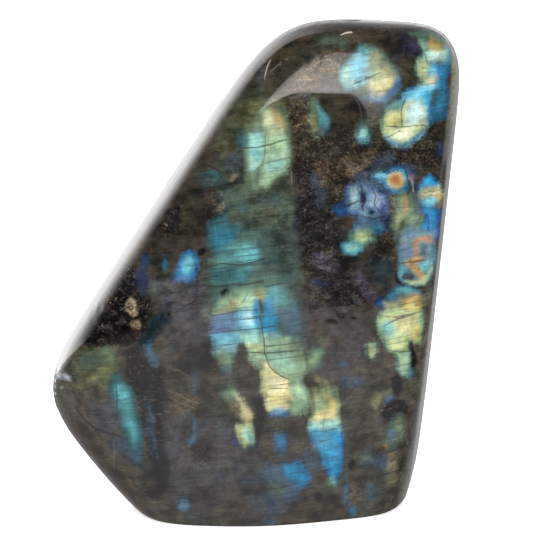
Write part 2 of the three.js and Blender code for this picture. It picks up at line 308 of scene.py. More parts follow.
# Every mark on the front, in the picture's pixels: its name, colour, soft edge, strength
# and shape. A shape is an outline, or an oval: its middle, half sizes and turn in degrees.
# Later marks lie on earlier ones.
MARKS = (
    # the feldspar's own colour, in broad fields
    ("south west", ASH, 12, 0.6, "60,392 100,384 118,440 160,500 180,520 140,514 84,446 56,406"),
    ("south west brown", EARTH, 12, 0.6, "62,420 84,424 112,462 150,506 138,512 100,474"),
    ("centre halo", POOL, 12, 0.85, "214,178 300,176 306,230 300,300 302,340 210,300 204,240 222,214"),
    ("field", MARSH, 9, 0.8, "228,186 262,178 296,190 298,214 284,232 240,230 226,206"),
    ("upper left green", MARSH, 9, 0.5, "230,100 262,84 262,112 248,140 240,170 222,176 218,140"),
    ("west fog", FOG, 9, 0.7, "150,286 176,274 206,282 214,330 204,344 180,350 162,338 164,312"),
    ("south fog", FOG, 14, 0.5, "150,400 230,420 262,450 262,500 200,516 160,470"),
    ("south east fog", ASH, 14, 0.5, "342,360 420,360 412,500 350,512 344,430"),
    ("crown", EARTH, 8, 0.85, "262,62 284,40 312,26 352,25 352,46 322,45 296,60 276,84 262,84"),
    ("crown brown", EARTH, 8, 0.8, "350,25 402,28 404,60 396,70 380,62 374,46 352,48"),
    ("upper left olive", OLIVE, 10, 0.7, "224,112 246,94 262,90 262,112 246,130 236,150 222,160"),
    ("left umber", UMBER, 10, 0.8,
     "206,166 200,190 214,206 210,240 190,252 150,262 142,252 168,214 190,180"),
    ("thicket", UMBER, 8, 0.85,
     "292,134 320,136 372,140 384,150 372,170 346,200 336,240 300,240 294,180"),
    ("black seam", COAL, 7, 0.85,
     "298,164 312,166 318,204 346,230 350,262 372,300 340,310 306,268 292,226"),
    ("east brown", UMBER, 8, 0.85,
     "370,100 384,104 382,128 392,144 420,142 430,126 446,126 444,170 404,165 376,150"),
    ("east shade", COAL, 8, 0.6, "350,250 372,236 392,250 396,284 420,288 384,296 372,310 352,296"),
    ("seam plum", MAUVE, 6, 0.55, "326,263 14x9 20"),
    ("seam green", DEEP_TEAL, 7, 0.5, "379,270 11x15"),
    ("seam mauve", MAUVE, 5, 0.55, "350,274 358,272 376,292 374,303 364,298"),
    ("seam blue", INDIGO, 4, 0.35, "318,283 9x4 20"),
    ("clot", INK, 5, 0.95,
     "122,270 134,268 136,292 148,300 150,314 142,334 128,345 88,345 80,336 96,314 110,296"),
    ("black band", COAL, 6, 0.9,
     "124,350 138,346 150,366 164,368 164,384 160,404 162,440 169,470 165,484 156,484 148,450 "
     "140,400 126,376"),
    ("mauve field", MAUVE, 9, 0.25, "304,306 346,306 372,330 352,384 322,382 306,340"),
    ("east field", ASH, 9, 0.5, "350,366 396,362 396,388 372,394 366,430 350,430 344,392"),
    ("east olive", ASH, 12, 0.6, "398,384 422,366 418,452 410,490 394,500 388,476 400,440"),
    ("south seam", COAL, 8, 0.5, "154,462 164,460 166,486 156,500 146,496"),
    ("south brown", EARTH, 12, 0.3, "190,486 240,480 300,500 340,506 330,522 200,520"),
    # crown and crescent
    ("crown lens", UMBER, 3, 0.85, "284,62 292,64 290,77 283,86 274,89 271,83 276,73"),
    ("crown seam", UMBER, 3, 0.75, "290,66 308,50 322,43 320,49 306,58 294,70"),
    ("crown green", SAGE, 5, 0.45, "316,38 336,35 348,40 346,48 330,46 316,43"),
    ("crown slate", SMOKE, 4, 0.5, "262,76 5x16 15"),
    ("glare thicket", FAWN, 4, 0.85,
     "284,90 298,72 312,60 326,50 348,52 352,60 345,66 326,78 312,91 298,91"),
    ("glare specks", GOLD, 2, 0.35, "323,70 4x3 -20"),
    ("crystal shade", RUST, 4, 0.5, "314,82 324,78 331,75 332,78 321,86 313,91"),
    ("glare smooth", MAUVE, 3, 0.35, "316,91 330,80 346,69 347,92 318,93"),
    ("glare plum", EARTH, 4, 0.6, "348,88 366,84 370,98 386,102 394,112 380,113 366,102 350,96"),
    ("crown plum", COAL, 4, 0.6, "382,30 400,30 400,60 394,68 384,56"),
    ("stripe green", MOSS, 4, 0.85, "308,96 318,96 324,114 324,136 314,140 308,120"),
    ("stripe sage", SAGE, 4, 0.7, "313,104 4x9 10"),
    ("stripe cyan", LAGOON, 3, 0.85, "318,100 323,110 330,118 330,126 322,124 318,112"),
    ("stripe blue", STEEL, 4, 0.8, "326,125 3x9 15"),
    ("speckled brown", EARTH, 5, 0.9, "286,96 300,92 310,93 310,108 304,134 294,134 288,116"),
    ("dark heart", UMBER, 4, 0.95, "318,93 350,94 352,112 358,128 350,136 334,138 331,118 322,106"),
    ("dark oval", INK, 6, 0.7, "359,106 11x8 20"),
    # the column under the crown's left
    ("column halo", MOSS, 6, 0.85,
     "250,112 262,96 284,100 291,120 293,160 286,180 262,192 246,182 243,150 244,128"),
    ("column shade", SAGE, 5, 0.7,
     "254,120 264,108 282,108 290,126 290,160 282,176 258,188 247,170 247,134"),
    ("column right", MINT, 4, 0.85,
     "263,112 270,108 276,122 283,131 287,142 290,158 286,172 277,179 266,188 260,184 262,172 "
     "265,158 265,140"),
    ("column gold", GOLD, 5, 0.45, "278,119 5x12 -32"),
    ("column pale", CREAM, 5, 0.4, "270,124 5x12 -18"),
    ("column aqua", AQUA, 4, 0.7, "275,166 10x6 -20"),
    ("column left", AQUA, 4, 0.75,
     "248,133 263,131 264,142 264,158 258,167 254,173 249,171 246,158 247,146"),
    ("column left top", AQUA, 3, 0.85, "256,138 6x6"),
    ("column left cyan", CYAN, 4, 0.5, "256,154 5x6"),
    ("column foot", SAGE, 3, 0.7, "254,180 4x9 5"),
    ("column teal", TEAL, 4, 0.7, "243,141 6x7"),
    # west of the column
    ("violet smudge", VIOLET, 6, 0.3, "233,162 8x8"),
    ("teal den", DEEP_TEAL, 6, 0.55, "201,172 211,169 219,175 223,183 213,187 203,191 198,184"),
    ("teal den light", TEAL, 3, 0.45, "214,174 6x2 20"),
    ("gold sparks", BUFF, 2, 0.7, "234,178 4x2 -35"),
    ("dark ledge", INK, 3, 0.6, "200,189 220,185 236,180 238,184 222,190 202,194"),
    ("field teal", REED, 7, 0.7, "238,200 12x10"),
    ("field brown", EARTH, 5, 0.7, "287,186 15x9"),
    ("den sparks", BUFF, 3, 0.35, "222,206 8x3 -40"),
    ("west black", INK, 4, 0.8, "158,228 168,208 178,206 182,222 178,232 166,234"),
    # blue spots of the west
    ("great spot", BLUE, 4, 0.9, "186,251 193,252 198,260 195,274 190,280 181,281 174,275 178,264"),
    ("great spot rim", DUSK, 3, 0.7, "183,279 8x3 -5"),
    ("great spot core", CYAN, 4, 0.9, "188,265 6x9 20"),
    ("teal bar", LAKE, 3, 0.75, "164,263 2.4x6"),
    ("azure bar", ABYSS, 3, 0.65, "144,261 3.5x6 10"),
    ("violet bar", NAVY, 5, 0.5, "133,270 147,268 149,282 147,296 136,292 132,280"),
    ("violet bar light", INDIGO, 5, 0.45, "143,278 4x9"),
    ("tan fragment", BUFF, 1.3, 0.9, "125,303 131,296 136,302 137,309 138,315 134,318 129,313 125,311"),
    ("pale fragment", BUFF, 2, 0.8, "136,325 5x4 30"),
    ("deep teal", DEEP_TEAL, 7, 0.85, "150,320 162,310 168,320 156,338 150,346 138,346 142,334"),
    ("slate bar", STEEL, 4, 0.65, "144,343 151,340 154,350 158,362 157,369 152,367 146,352"),
    ("dark knot", INK, 2, 0.9, "201,252 3x5 35"),
    ("fog dot", INK, 1, 0.9, "169,314 1.8x1.8"),
    # the olive bed, the white nick and the western streak
    ("olive bed", MOSS, 6, 0.45,
     "80,352 88,347 104,345 116,345 119,360 118,373 112,381 98,387 84,392 76,388 70,374 74,360"),
    ("olive green", MOSS, 7, 0.5, "99,350 112,346 117,352 116,364 110,373 102,369 97,358"),
    ("olive light", SAGE, 6, 0.5, "108,354 8x9"),
    ("olive teal", REED, 6, 0.7, "88,362 8x9"),
    ("olive streak", WILLOW, 2, 0.3, "93,379 2x5"),
    ("white nick", PEARL, 2, 0.9, "51,374 58,372 64,374 69,376 70,379 62,379 55,378"),
    ("streak fringe", MOSS, 5, 0.5, "103,385 7x8"),
    ("streak slate", SLATE, 8, 0.3, "96,404 116,404 118,424 112,436 92,430"),
    ("streak", TEAL, 5, 0.8,
     "113,378 119,372 124,385 131,390 133,404 136,416 140,430 140,448 138,464 133,456 129,440 "
     "124,428 119,416 114,402 110,390"),
    ("streak heart", LAGOON, 5, 0.6,
     "117,388 124,385 130,391 132,404 135,418 137,434 134,444 130,432 125,424 120,414 117,402"),
    ("streak bright", CYAN, 4, 0.45, "121,392 5x9 -15"),
    ("streak low", CYAN, 4, 0.3, "132,430 4x12 -12"),
    ("streak tail", SLATE, 5, 0.6, "135,455 4x10"),
    ("streak blue", SLATE, 4, 0.5, "121,445 8x7"),
    ("band blue", STEEL, 4, 0.3, "152,425 2.5x26 -6"),
    # centre west
    ("umber pool", COAL, 8, 0.55, "190,342 212,344 214,356 206,368 196,372 184,375 170,364 184,356"),
    ("wisp", SLATE, 4, 0.35, "196,384 4x12"),
    ("scratch bed", FAWN, 5, 0.4, "184,403 14x11"),
    ("low wisp", STEEL, 3, 0.6, "192,420 195,422 197,430 200,432 196,442 190,446 188,440 193,434"),
    ("low spot", STEEL, 4, 0.8, "183,506 7x6"),
    # the teal nebula and the central flash
    ("nebula", TEAL, 7, 0.85,
     "208,226 214,218 226,216 230,226 242,229 254,238 258,250 242,262 224,258 210,244"),
    ("nebula bright", LAKE, 5, 0.6, "223,238 11x10"),
    ("centre field", REED, 9, 0.9,
     "210,262 240,238 262,238 280,252 288,276 292,300 298,330 300,352 270,350 236,330 212,312 "
     "208,286"),
    ("centre upper", LAGOON, 7, 0.65, "216,252 236,244 256,242 259,260 240,265 216,267"),
    ("centre upper light", CYAN, 5, 0.65, "246,252 9x7"),
    ("centre fringe", REED, 5, 0.7, "252,236 13x6"),
    ("centre middle", TEAL, 6, 0.85, "212,270 240,264 252,270 250,281 226,286 212,285"),
    ("centre lagoon", LAGOON, 4, 0.55, "245,271 8x6"),
    ("centre green", REED, 6, 0.85, "250,273 282,270 286,286 262,291 246,287"),
    ("centre dull", POOL, 7, 0.6, "279,262 18x13"),
    ("centre knot", INK, 1.5, 0.95, "221,293 226,289 229,290 224,296"),
    ("centre sage", FERN, 5, 0.8, "222,298 244,290 262,290 262,302 240,304 214,310"),
    ("centre mint", MINT, 4, 0.8, "247,302 11x7 -15"),
    ("centre straw", WILLOW, 4, 0.8, "261,295 6x6"),
    ("centre orange", GOLD, 3, 0.4, "233,304 6x3 -20"),
    ("centre tan", WILLOW, 3, 0.6, "223,312 12x3 -15"),
    ("block", PERIWINKLE, 4, 0.65, "210,317 226,314 240,313 240,328 226,331 212,333"),
    ("block light", STEEL, 4, 0.6, "233,321 6x7"),
    ("core glow", SKY, 5, 0.85, "238,312 257,306 258,328 254,334 238,334"),
    ("white core", ICE, 5, 0.65, "248,319 5x8"),
    ("blue bar", BLUE, 3, 0.85, "253,299 258,301 258,318 256,328 252,314"),
    ("bar blot", COAL, 3, 0.7, "260.5,306 2x7 -12"),
    ("azure cap", LAGOON, 6, 0.7, "266,290 276,286 286,292 292,302 286,309 268,306"),
    ("azure body", BLUE, 5, 0.75, "264,302 272,298 275,312 277,326 282,334 270,337 261,333 262,320"),
    ("azure cyan", AZURE, 4, 0.75, "268,324 7x9"),
    ("azure ice", AQUA, 4, 0.6, "272,336 10x4"),
    ("slate right", SLATE, 7, 0.7, "278,308 294,302 303,318 302,334 286,339 282,326"),
    ("ice west", SKY, 4, 0.7, "211,334 240,331 242,337 232,347 226,349 214,345"),
    ("ice west low", MIST, 4, 0.8, "226,350 12x5 -8"),
    ("ice east", AQUA, 4, 0.9, "240,334 258,330 262,344 252,351 242,345"),
    ("pale straw", CELERY, 4, 0.8, "256,347 9x5"),
    ("cream cap", MINT, 4, 0.85, "264,339 290,338 294,350 266,351"),
    ("green step", MINT, 4, 0.8, "248,352 264,352 267,363 256,368 250,361"),
    ("green body", FERN, 4, 0.85, "264,350 296,350 303,360 304,373 300,384 284,379 272,369 266,360"),
    ("green light", AQUA, 6, 0.4, "282,362 13x9"),
    ("green east", SAGE, 4, 0.8, "297,350 6x12"),
    ("cream body", CREAM, 3, 0.9,
     "262,362 268,362 278,374 288,380 291,398 288,406 278,411 268,409 264,396 262,380"),
    ("cream edge", CELERY, 3, 0.6, "265,380 3x14"),
    ("cream core", IVORY, 4, 0.5, "280,383 8x7"),
    ("cream gold", STRAW, 3, 0.6, "278,400 9x5"),
    ("gold knot", KHAKI, 3, 0.8, "290,401 3x3"),
    ("blue foot", BLUE, 4, 0.8, "278,411 8x4"),
    ("aqua east", FERN, 3, 0.9,
     "290,380 300,380 308,392 310,402 304,412 292,413 288,408 294,398 290,392"),
    ("aqua light", MINT, 4, 0.7, "300,396 6x10 -15"),
    ("tail green", SAGE, 4, 0.85, "215,352 234,350 236,362 230,370 219,366"),
    ("tail slate", SLATE, 4, 0.6, "226,371 6x4"),
    ("dark wedge", ASH, 3, 0.9, "238,344 244,344 248,356 250,378 240,378 236,360"),
    # the tan streak, the tongue and the blue slab
    ("tan head", SAGE, 5, 0.75, "230,392 8x8"),
    ("tan shoulder", KHAKI, 5, 0.5, "226,398 237,404 243,420 234,416"),
    ("tan gold", CREAM, 4, 0.6, "234,392 239,394 246,404 252,416 247,424 241,418 238,406"),
    ("tan foot", CELERY, 3, 0.9, "236,425 250,424 252,436 250,442 244,445 240,436"),
    ("tan foot ice", AQUA, 3, 0.7, "247,433 4x8"),
    ("tan foot blue", LAKE, 2.5, 0.7, "250,439 2.5x7 -10"),
    ("tan foot navy", INDIGO, 4, 0.5, "236,441 6x6"),
    ("dark gulf", COAL, 5, 0.7, "250,397 264,398 262,430 256,448 252,430 256,412"),
    ("diagonal", SAGE, 4, 0.85, "312,350 322,346 326,352 320,363 312,369 305,371 308,358"),
    ("diagonal light", FERN, 4, 0.6, "315,358 5x7 25"),
    ("diagonal top", MOSS, 6, 0.35, "320,340 7x7"),
    ("maroon seam", PLUM, 4, 0.3, "305,372 314,376 318,390 313,408 307,400 310,388 304,380"),
    ("tongue tip", KHAKI, 4, 0.7, "316,376 327,380 329,388 318,387"),
    ("tongue tan", WILLOW, 4, 0.85, "314,388 328,390 335,388 338,400 339,416 314,415 312,398"),
    ("tongue sage", FERN, 3, 0.6, "319,406 5x9"),
    ("tongue gold", STRAW, 4, 0.7, "332,406 5x8"),
    ("tongue cream", CREAM, 4, 0.9, "316,412 338,409 339,422 316,424 312,418"),
    ("tongue ice", AQUA, 4, 0.9, "311,421 339,419 339,431 322,434 311,430"),
    ("tongue azure", AZURE, 4, 0.9,
     "310,430 339,429 341,440 341,456 339,470 335,481 330,475 325,462 321,446 315,438"),
    ("tongue sky", SKY, 5, 0.45, "322,438 8x8 -12"),
    ("tongue dusk", PERIWINKLE, 4, 0.5, "338,452 3x12"),
    ("tongue haze", STEEL, 6, 0.35, "325,442 11x14"),
    ("tongue foot", FERN, 3, 0.7, "332,481 4x5"),
    ("slab slate", SLATE, 6, 0.75, "264,464 286,462 288,482 272,482"),
    ("slab", BLUE, 4, 0.9, "283,463 298,462 304,470 309,478 304,486 296,484 290,484 286,472"),
    ("slab light", AZURE, 5, 0.7, "293,472 7x7"),
    ("slab foot", SLATE, 4, 0.8, "292,492 6x9"),
    ("slab green", SAGE, 6, 0.2, "278,490 9x9"),
    ("cobalt drop", BLUE, 6, 0.6, "281,442 6x9"),
    ("slate lines", SLATE, 5, 0.6, "313,460 8x10"),
    ("violet foot", SLATE, 9, 0.4, "250,497 268,494 286,498 286,512 252,513"),
    ("red knot", UMBER, 6, 0.5, "202,450 10x13"),
    ("foot blue", INDIGO, 5, 0.35, "272,504 4x9"),
    ("foot steel", SLATE, 5, 0.4, "256,478 14x5"),
    ("low dusk", SMOKE, 6, 0.6, "196,516 14x5"),
    ("low teal", TEAL, 5, 0.4, "372,492 6x10"),
    ("east slate", SLATE, 6, 0.45, "352,382 12x6"),
    ("east slate low", SLATE, 5, 0.45, "376,462 10x5"),
    ("east tan", KHAKI, 7, 0.3, "392,470 6x14"),
    ("foot nub", SLATE, 2.5, 0.8, "270,523 5x3"),
    # the upper flash, under the glare
    ("upper shade", SAGE, 5, 0.8,
     "346,62 360,44 376,48 388,60 400,76 398,92 384,100 364,98 352,88 342,84"),
    ("upper pale", AQUA, 4, 0.9, "339,68 352,57 358,70 356,88 345,89 339,80"),
    ("upper blue", SKY, 4, 0.85, "350,60 360,47 368,50 371,62 371,76 366,84 354,86 349,74"),
    ("upper teal", LAGOON, 3, 0.6, "363,50 5x5"),
    ("upper tan", WILLOW, 4, 0.6, "375,57 8x7 35"),
    ("upper mint", MINT, 4, 0.8, "373,70 7x9"),
    ("upper gold", STRAW, 5, 0.35, "374,62 387,64 399,77 396,86 384,84 376,78"),
    ("upper cream", CREAM, 4, 0.7, "366,80 386,78 394,84 386,94 370,94"),
    ("upper rim blue", COBALT, 2.5, 0.85, "399,75 402,82 397,92 388,99 378,101 386,93 393,86 396,79"),
    ("upper rim low", PERIWINKLE, 3, 0.7, "374,97 10x3 5"),
    # the top right
    ("corner green", SAGE, 3, 0.85, "406,33 420,31 438,34 450,44 444,43 428,38 414,38"),
    ("corner navy", NAVY, 4, 0.6, "399,32 408,36 418,42 424,50 427,60 419,60 412,55 403,55 399,46"),
    ("corner celery", MINT, 3, 0.9, "418,40 425,40 429,50 442,46 448,42 452,52 448,62 428,61 424,50"),
    ("corner straw", STRAW, 3, 0.7, "436,46 9x6 20"),
    ("corner amber", GOLD, 3, 0.75, "432,43 4x5"),
    ("corner bone", ICE, 3, 0.8, "435,56 10x4"),
    ("corner cyan", AZURE, 2.5, 0.9, "446,43 451,52 452,62 446,62 447,52"),
    ("corner blue", BLUE, 3, 0.95, "428,63 449,63 450,72 445,82 437,86 430,80 427,70"),
    ("corner ice", SKY, 3, 0.8, "431,71 4x7"),
    ("small oval", CELERY, 2.5, 0.95, "418,60 424,57 428,64 428,74 424,80 419,79 416,70"),
    ("small oval tan", WILLOW, 2.5, 0.6, "423,66 3x5"),
    ("corner lime", CREAM, 3, 0.8, "429,82 7x5 -15"),
    ("big bridge", SKY, 3, 0.95, "403,97 412,88 424,84 437,84 435,94 428,104 412,107 404,104"),
    ("big bridge blue", AZURE, 3, 0.9, "421,92 435,90 432,102 428,112 427,124 424,124 424,104"),
    ("big patch", CELERY, 3, 0.97,
     "386,112 394,105 404,102 412,100 424,104 427,112 427,126 421,136 410,145 396,145 387,137 "
     "382,128 382,120"),
    ("big patch celery", STRAW, 4, 0.6, "392,119 7x7"),
    ("big patch ice", ICE, 5, 0.9, "414,114 10x11"),
    ("big patch cream", IVORY, 4, 0.8, "404,133 9x5"),
    ("big patch slate", LAGOON, 3, 0.8, "394,107 9x4 -20"),
    ("big rim low", BLUE, 2.5, 0.8,
     "386,134 394,140 404,142 416,136 425,129 426,133 419,141 408,147 396,146 387,140"),
    ("east blue", LAKE, 4, 0.85, "440,86 447,88 449,98 446,110 448,118 436,120 430,117 432,106 436,96"),
    ("east gap", SMOKE, 3, 0.8, "434,88 439,92 434,106 430,108 430,98"),
    ("east rim", MOSS, 3, 0.7, "449,48 455,54 457,100 456,122 449,120 451,90"),
    ("twin spot shade", REED, 4, 0.6, "364,125 5x6"),
    ("twin spot", AQUA, 3, 0.8, "363,134 5x6"),
    ("twin spot blue", LAKE, 3, 0.6, "365,140 5x2"),
    # the eye and the lavender cloud
    ("north crystals", BUFF, 5, 0.35, "336,158 352,156 376,150 378,160 362,168 350,178 338,170"),
    ("gold crystals", RUST, 4, 0.5, "322,172 7x12"),
    ("blue wisps", SLATE, 5, 0.35, "310,170 318,172 328,190 326,210 316,208"),
    ("lilac wisp", SLATE, 7, 0.5, "354,176 368,170 372,160 390,152 396,156 384,170 372,184 356,190"),
    ("cloud", PERIWINKLE, 6, 0.7,
     "348,188 362,184 376,186 387,194 388,208 382,222 366,220 352,212 346,200"),
    ("cloud west", MIST, 4, 0.8, "354,198 6x11"),
    ("cloud ice", ICE, 4, 0.6, "354,194 4x6"),
    ("cloud east", LAVENDER, 4, 0.8, "375,200 9x9"),
    ("cloud bright", ICE, 3, 0.4, "372,201 7x4"),
    ("cloud aqua", MIST, 4, 0.7, "370,213 8x4"),
    ("cloud drop", NAVY, 2, 0.95, "364,198 2.5x4"),
    ("cloud dot", NAVY, 1.5, 0.9, "373,213 2x2"),
    ("cloud hole", NAVY, 2, 0.7, "381,191 4x2 30"),
    ("cobalt bank", ABYSS, 3, 0.8, "334,206 342,202 348,206 347,214 340,217 334,212"),
    ("cloud cobalt", INDIGO, 3, 0.7, "384,213 3x8"),
    ("cloud foot", LAKE, 4, 0.8, "376,225 9x5 15"),
    ("sea west", STEEL, 4, 0.8, "356,225 364,218 374,222 374,232 358,233"),
    ("sea green", FERN, 4, 0.9, "350,236 358,228 372,230 374,240 364,246 350,246"),
    ("sea light", CELERY, 3, 0.5, "362,236 7x4 -10"),
    ("sea teal", LAGOON, 3, 0.9, "341,244 352,240 362,243 362,250 354,257 344,253"),
    ("sea aqua", AQUA, 3, 0.5, "350,248 6x4"),
    ("sea shadow", INK, 3, 0.9, "352,260 9x3"),
    ("navy gap", COAL, 4, 0.9, "401,163 6x7"),
    ("indigo speck", SLATE, 3, 0.7, "409,168 5x4"),
    ("eye halo", AZURE, 3, 0.8, "398,179 12x12"),
    ("eye tail", SKY, 3, 0.85, "382,176 9x4 -10"),
    ("eye ring", STRAW, 2, 0.9, "396,180 9x9"),
    ("eye", AMBER, 2, 0.95, "396,179 5.5x5.5"),
    ("eye heart", COPPER, 2, 0.9, "396,179 4x4"),
    ("copper rise", COPPER, 2, 0.8, "407,181 410,174 414,173 413,182 409,185"),
    ("rim indigo", INDIGO, 3, 0.7, "441,150 3x7"),
    # the eastern band and its knot
    ("band buff", FAWN, 4, 0.8, "392,204 4x11"),
    ("band green", SAGE, 5, 0.65,
     "396,191 408,189 416,200 418,214 412,230 404,240 396,240 392,222 394,208"),
    ("band light", MINT, 5, 0.6, "404,208 6x12"),
    ("band straw", CELERY, 4, 0.4, "398,222 4x10"),
    ("band orange", AMBER, 2, 0.7, "405,205 2x9"),
    ("band east", FERN, 4, 0.8, "413,221 6x7 25"),
    ("band seam", EARTH, 3, 0.7, "399,222 406,217 402,232 400,256 395,256 397,236"),
    ("knot bed", MIST, 5, 0.8,
     "401,232 412,226 430,230 434,244 434,262 430,278 420,285 404,285 398,274 401,258 399,246"),
    ("knot dusk", DUSK, 4, 0.7, "407,250 5x9"),
    ("knot top", PERIWINKLE, 5, 0.5, "410,234 8x5"),
    ("knot ring", AMBER, 1.8, 0.8,
     "412,242 418,237 428,235 433,239 431,243 422,241 418,244 417,259 413,260 414,250"),
    ("knot heart", SLATE, 3, 0.7, "423,250 4x6"),
    ("knot waist", GOLD, 2, 0.9, "403,263 412,257 422,257 421,262 408,265"),
    ("knot ribbon", GOLD, 2, 0.9, "406,264 414,264 423,272 427,278 422,281 414,273"),
    ("knot cyan", CYAN, 2.5, 0.9, "425,266 4x5"),
    ("knot west", LAGOON, 2.5, 0.8, "403,270 5x6"),
    ("knot shade", SMOKE, 2.5, 0.9, "408,277 6x4"),
    ("knot low", CELERY, 2.5, 0.85, "404,281 420,279 428,274 431,264 433,270 426,285 418,285 408,286"),
    ("knot black", INK, 2, 0.9, "395,272 402,284 416,287 428,286 420,291 402,289 395,282"),
    ("edge cyan", AZURE, 3, 0.95, "423,179 430,173 435,178 438,186 432,188 422,188"),
    ("edge cream", CREAM, 3, 0.95, "422,188 434,187 441,185 442,194 436,199 423,197"),
    ("edge amber", GOLD, 2.5, 0.9, "438,198 3x6"),
    ("edge ice", SKY, 3, 0.9, "430,202 8x5"),
    ("edge ultramarine", BLUE, 3, 0.95,
     "422,206 438,206 439,220 436,232 428,231 421,226 427,216 421,210"),
    ("edge lilac", DUSK, 3, 0.7, "434,234 4x6"),
    ("edge grey", SLATE, 4, 0.6, "418,203 4x12"),
    # the great yellow and what hangs from it
    ("blue square", ABYSS, 3, 0.9, "380,302 4x4"),
    ("arc slate", LAKE, 3, 0.85, "385,299 392,291 399,288 400,298 392,301"),
    ("arc cyan", LAGOON, 3, 0.85, "407,291 11x4 5"),
    ("arc tan", BUFF, 2, 0.6, "410,296 11x2 -10"),
    ("yellow west", WILLOW, 3, 0.9, "384,301 399,299 400,309 386,311"),
    ("yellow body", CELERY, 3, 0.95,
     "382,312 400,308 422,311 421,326 418,342 411,342 407,351 392,351 385,342 379,334 378,320"),
    ("yellow top", GOLD, 3, 0.75, "400,297 421,293 424,298 423,306 400,308"),
    ("yellow top light", STRAW, 3, 0.85, "412,307 10x5"),
    ("yellow core", CREAM, 6, 0.7, "403,324 13x9"),
    ("yellow cyan", CYAN, 5, 0.75, "388,329 7x8"),
    ("yellow east", STRAW, 4, 0.6, "416,332 5x9"),
    ("yellow low", CELERY, 4, 0.7, "397,346 9x5"),
    ("tail body", MINT, 3, 0.9, "396,352 411,351 412,364 408,377 401,377 397,366"),
    ("tail blue", STEEL, 3, 0.6, "411,373 3x6"),
    ("rib", COAL, 1.5, 0.95, "409,341 412,341 413,348 416,354 417,362 412,369 410,362 411,352 409,348"),
    ("small yellow", CELERY, 3, 0.8, "371,352 5x8"),
    ("tan pebble", KHAKI, 4, 0.5, "369,397 378,392 384,395 380,404 375,410 371,404"),
    ("pebble pale", WILLOW, 3, 0.6, "387,392 5x3"),
    ("pebble blue", DUSK, 3, 0.7, "389,399 5x4 -30"),
    ("blotch", COAL, 3, 0.9, "393,402 404,400 407,408 405,414 396,412 392,417 386,419 380,412 386,406"),
    ("rise", SAGE, 4, 0.65, "388,449 384,440 390,426 396,416 400,414 402,424 400,440 396,448"),
    ("rise light", WILLOW, 4, 0.4, "400,428 4x10"),
    ("rise amber", AMBER, 3, 0.5, "386,446 3x3"),
    ("rise blue", PERIWINKLE, 3, 0.5, "391,435 4x5"),
    ("rise tan", BUFF, 4, 0.4, "392,460 5x8"),
    ("dab", SLATE, 4, 0.6, "343,364 7x4"),
    ("gap by the tail", COAL, 4, 0.8, "391,378 398,374 403,380 402,392 396,396 392,388"),
    ("glass", SAGE, 4, 0.6, "365,458 6x4"),
    ("glass indigo", SLATE, 5, 0.5, "379,464 7x5"),
    ("ink spot", INK, 3, 0.9, "352,464 3x5"),
    ("south wisp", STEEL, 5, 0.5, "346,494 4x9"),
    ("south azure", LAKE, 3, 0.6, "353,512 4x5"),
    ("south ring", INK, 3, 0.8, "318,497 3x4"),
    ("south pink", ASH, 5, 0.5, "357,492 7x9"),
)

# Where the fine crystals show as grit, and where thin lamellae show as lines.
GRIT = (
    ("glare thicket", 5, 0.7, "284,90 298,72 312,50 348,50 352,60 326,80 310,92"),
    ("speckled brown", 5, 1.0, "286,96 300,92 312,93 310,134 292,136 286,112"),
    ("thicket", 8, 0.9,
     "292,132 360,130 384,146 440,128 446,170 404,172 346,190 330,240 300,240 294,180"),
    ("east brown", 6, 0.8, "366,98 384,104 382,128 392,146 376,150 368,128"),
    ("black seam", 8, 0.8, "300,220 340,222 344,262 366,286 364,308 312,312 300,260"),
    ("cloud", 5, 0.7, "346,184 390,184 390,222 346,216"),
    ("clot", 5, 1.0, "120,266 136,264 138,292 150,300 152,312 142,336 126,348 86,348 80,334 96,314"),
    ("black band", 5, 0.85, "124,352 142,350 164,368 162,440 156,466 146,450 138,404 126,380"),
    ("scratch bed", 5, 0.4, "186,404 18x14"),
    ("den", 5, 0.6, "215,208 12x18"),
    ("west black", 5, 0.7, "158,228 168,206 184,206 182,232 164,240"),
    ("red knot", 6, 0.6, "202,456 10x13"),
    ("south pink", 6, 0.6, "357,492 9x12"),
    ("blotch", 5, 0.7, "393,412 13x12"),
    ("band buff", 4, 0.8, "384,194 397,192 397,262 372,262 376,232 386,226"),
)
LAMELLAE = (
    ("centre", 10, 1.0, "208,180 294,176 300,240 300,352 290,412 262,412 236,372 208,350 206,262"),
    ("column", 6, 0.5, "268,150 22x40"),
    ("crown", 8, 0.5, "262,62 300,30 352,26 352,60 300,70 280,86"),
    ("corner", 8, 0.6, "404,30 440,34 456,60 456,126 430,122 424,60"),
    ("east yellow", 6, 0.6, "378,292 424,290 424,352 412,380 396,380 380,340"),
    ("slab", 8, 0.6, "250,455 345,430 345,500 270,512"),
    ("south east", 10, 0.6, "345,400 420,400 410,500 350,510"),
    ("west streak", 8, 0.5, "90,380 142,376 150,480 112,470 88,430"),
)

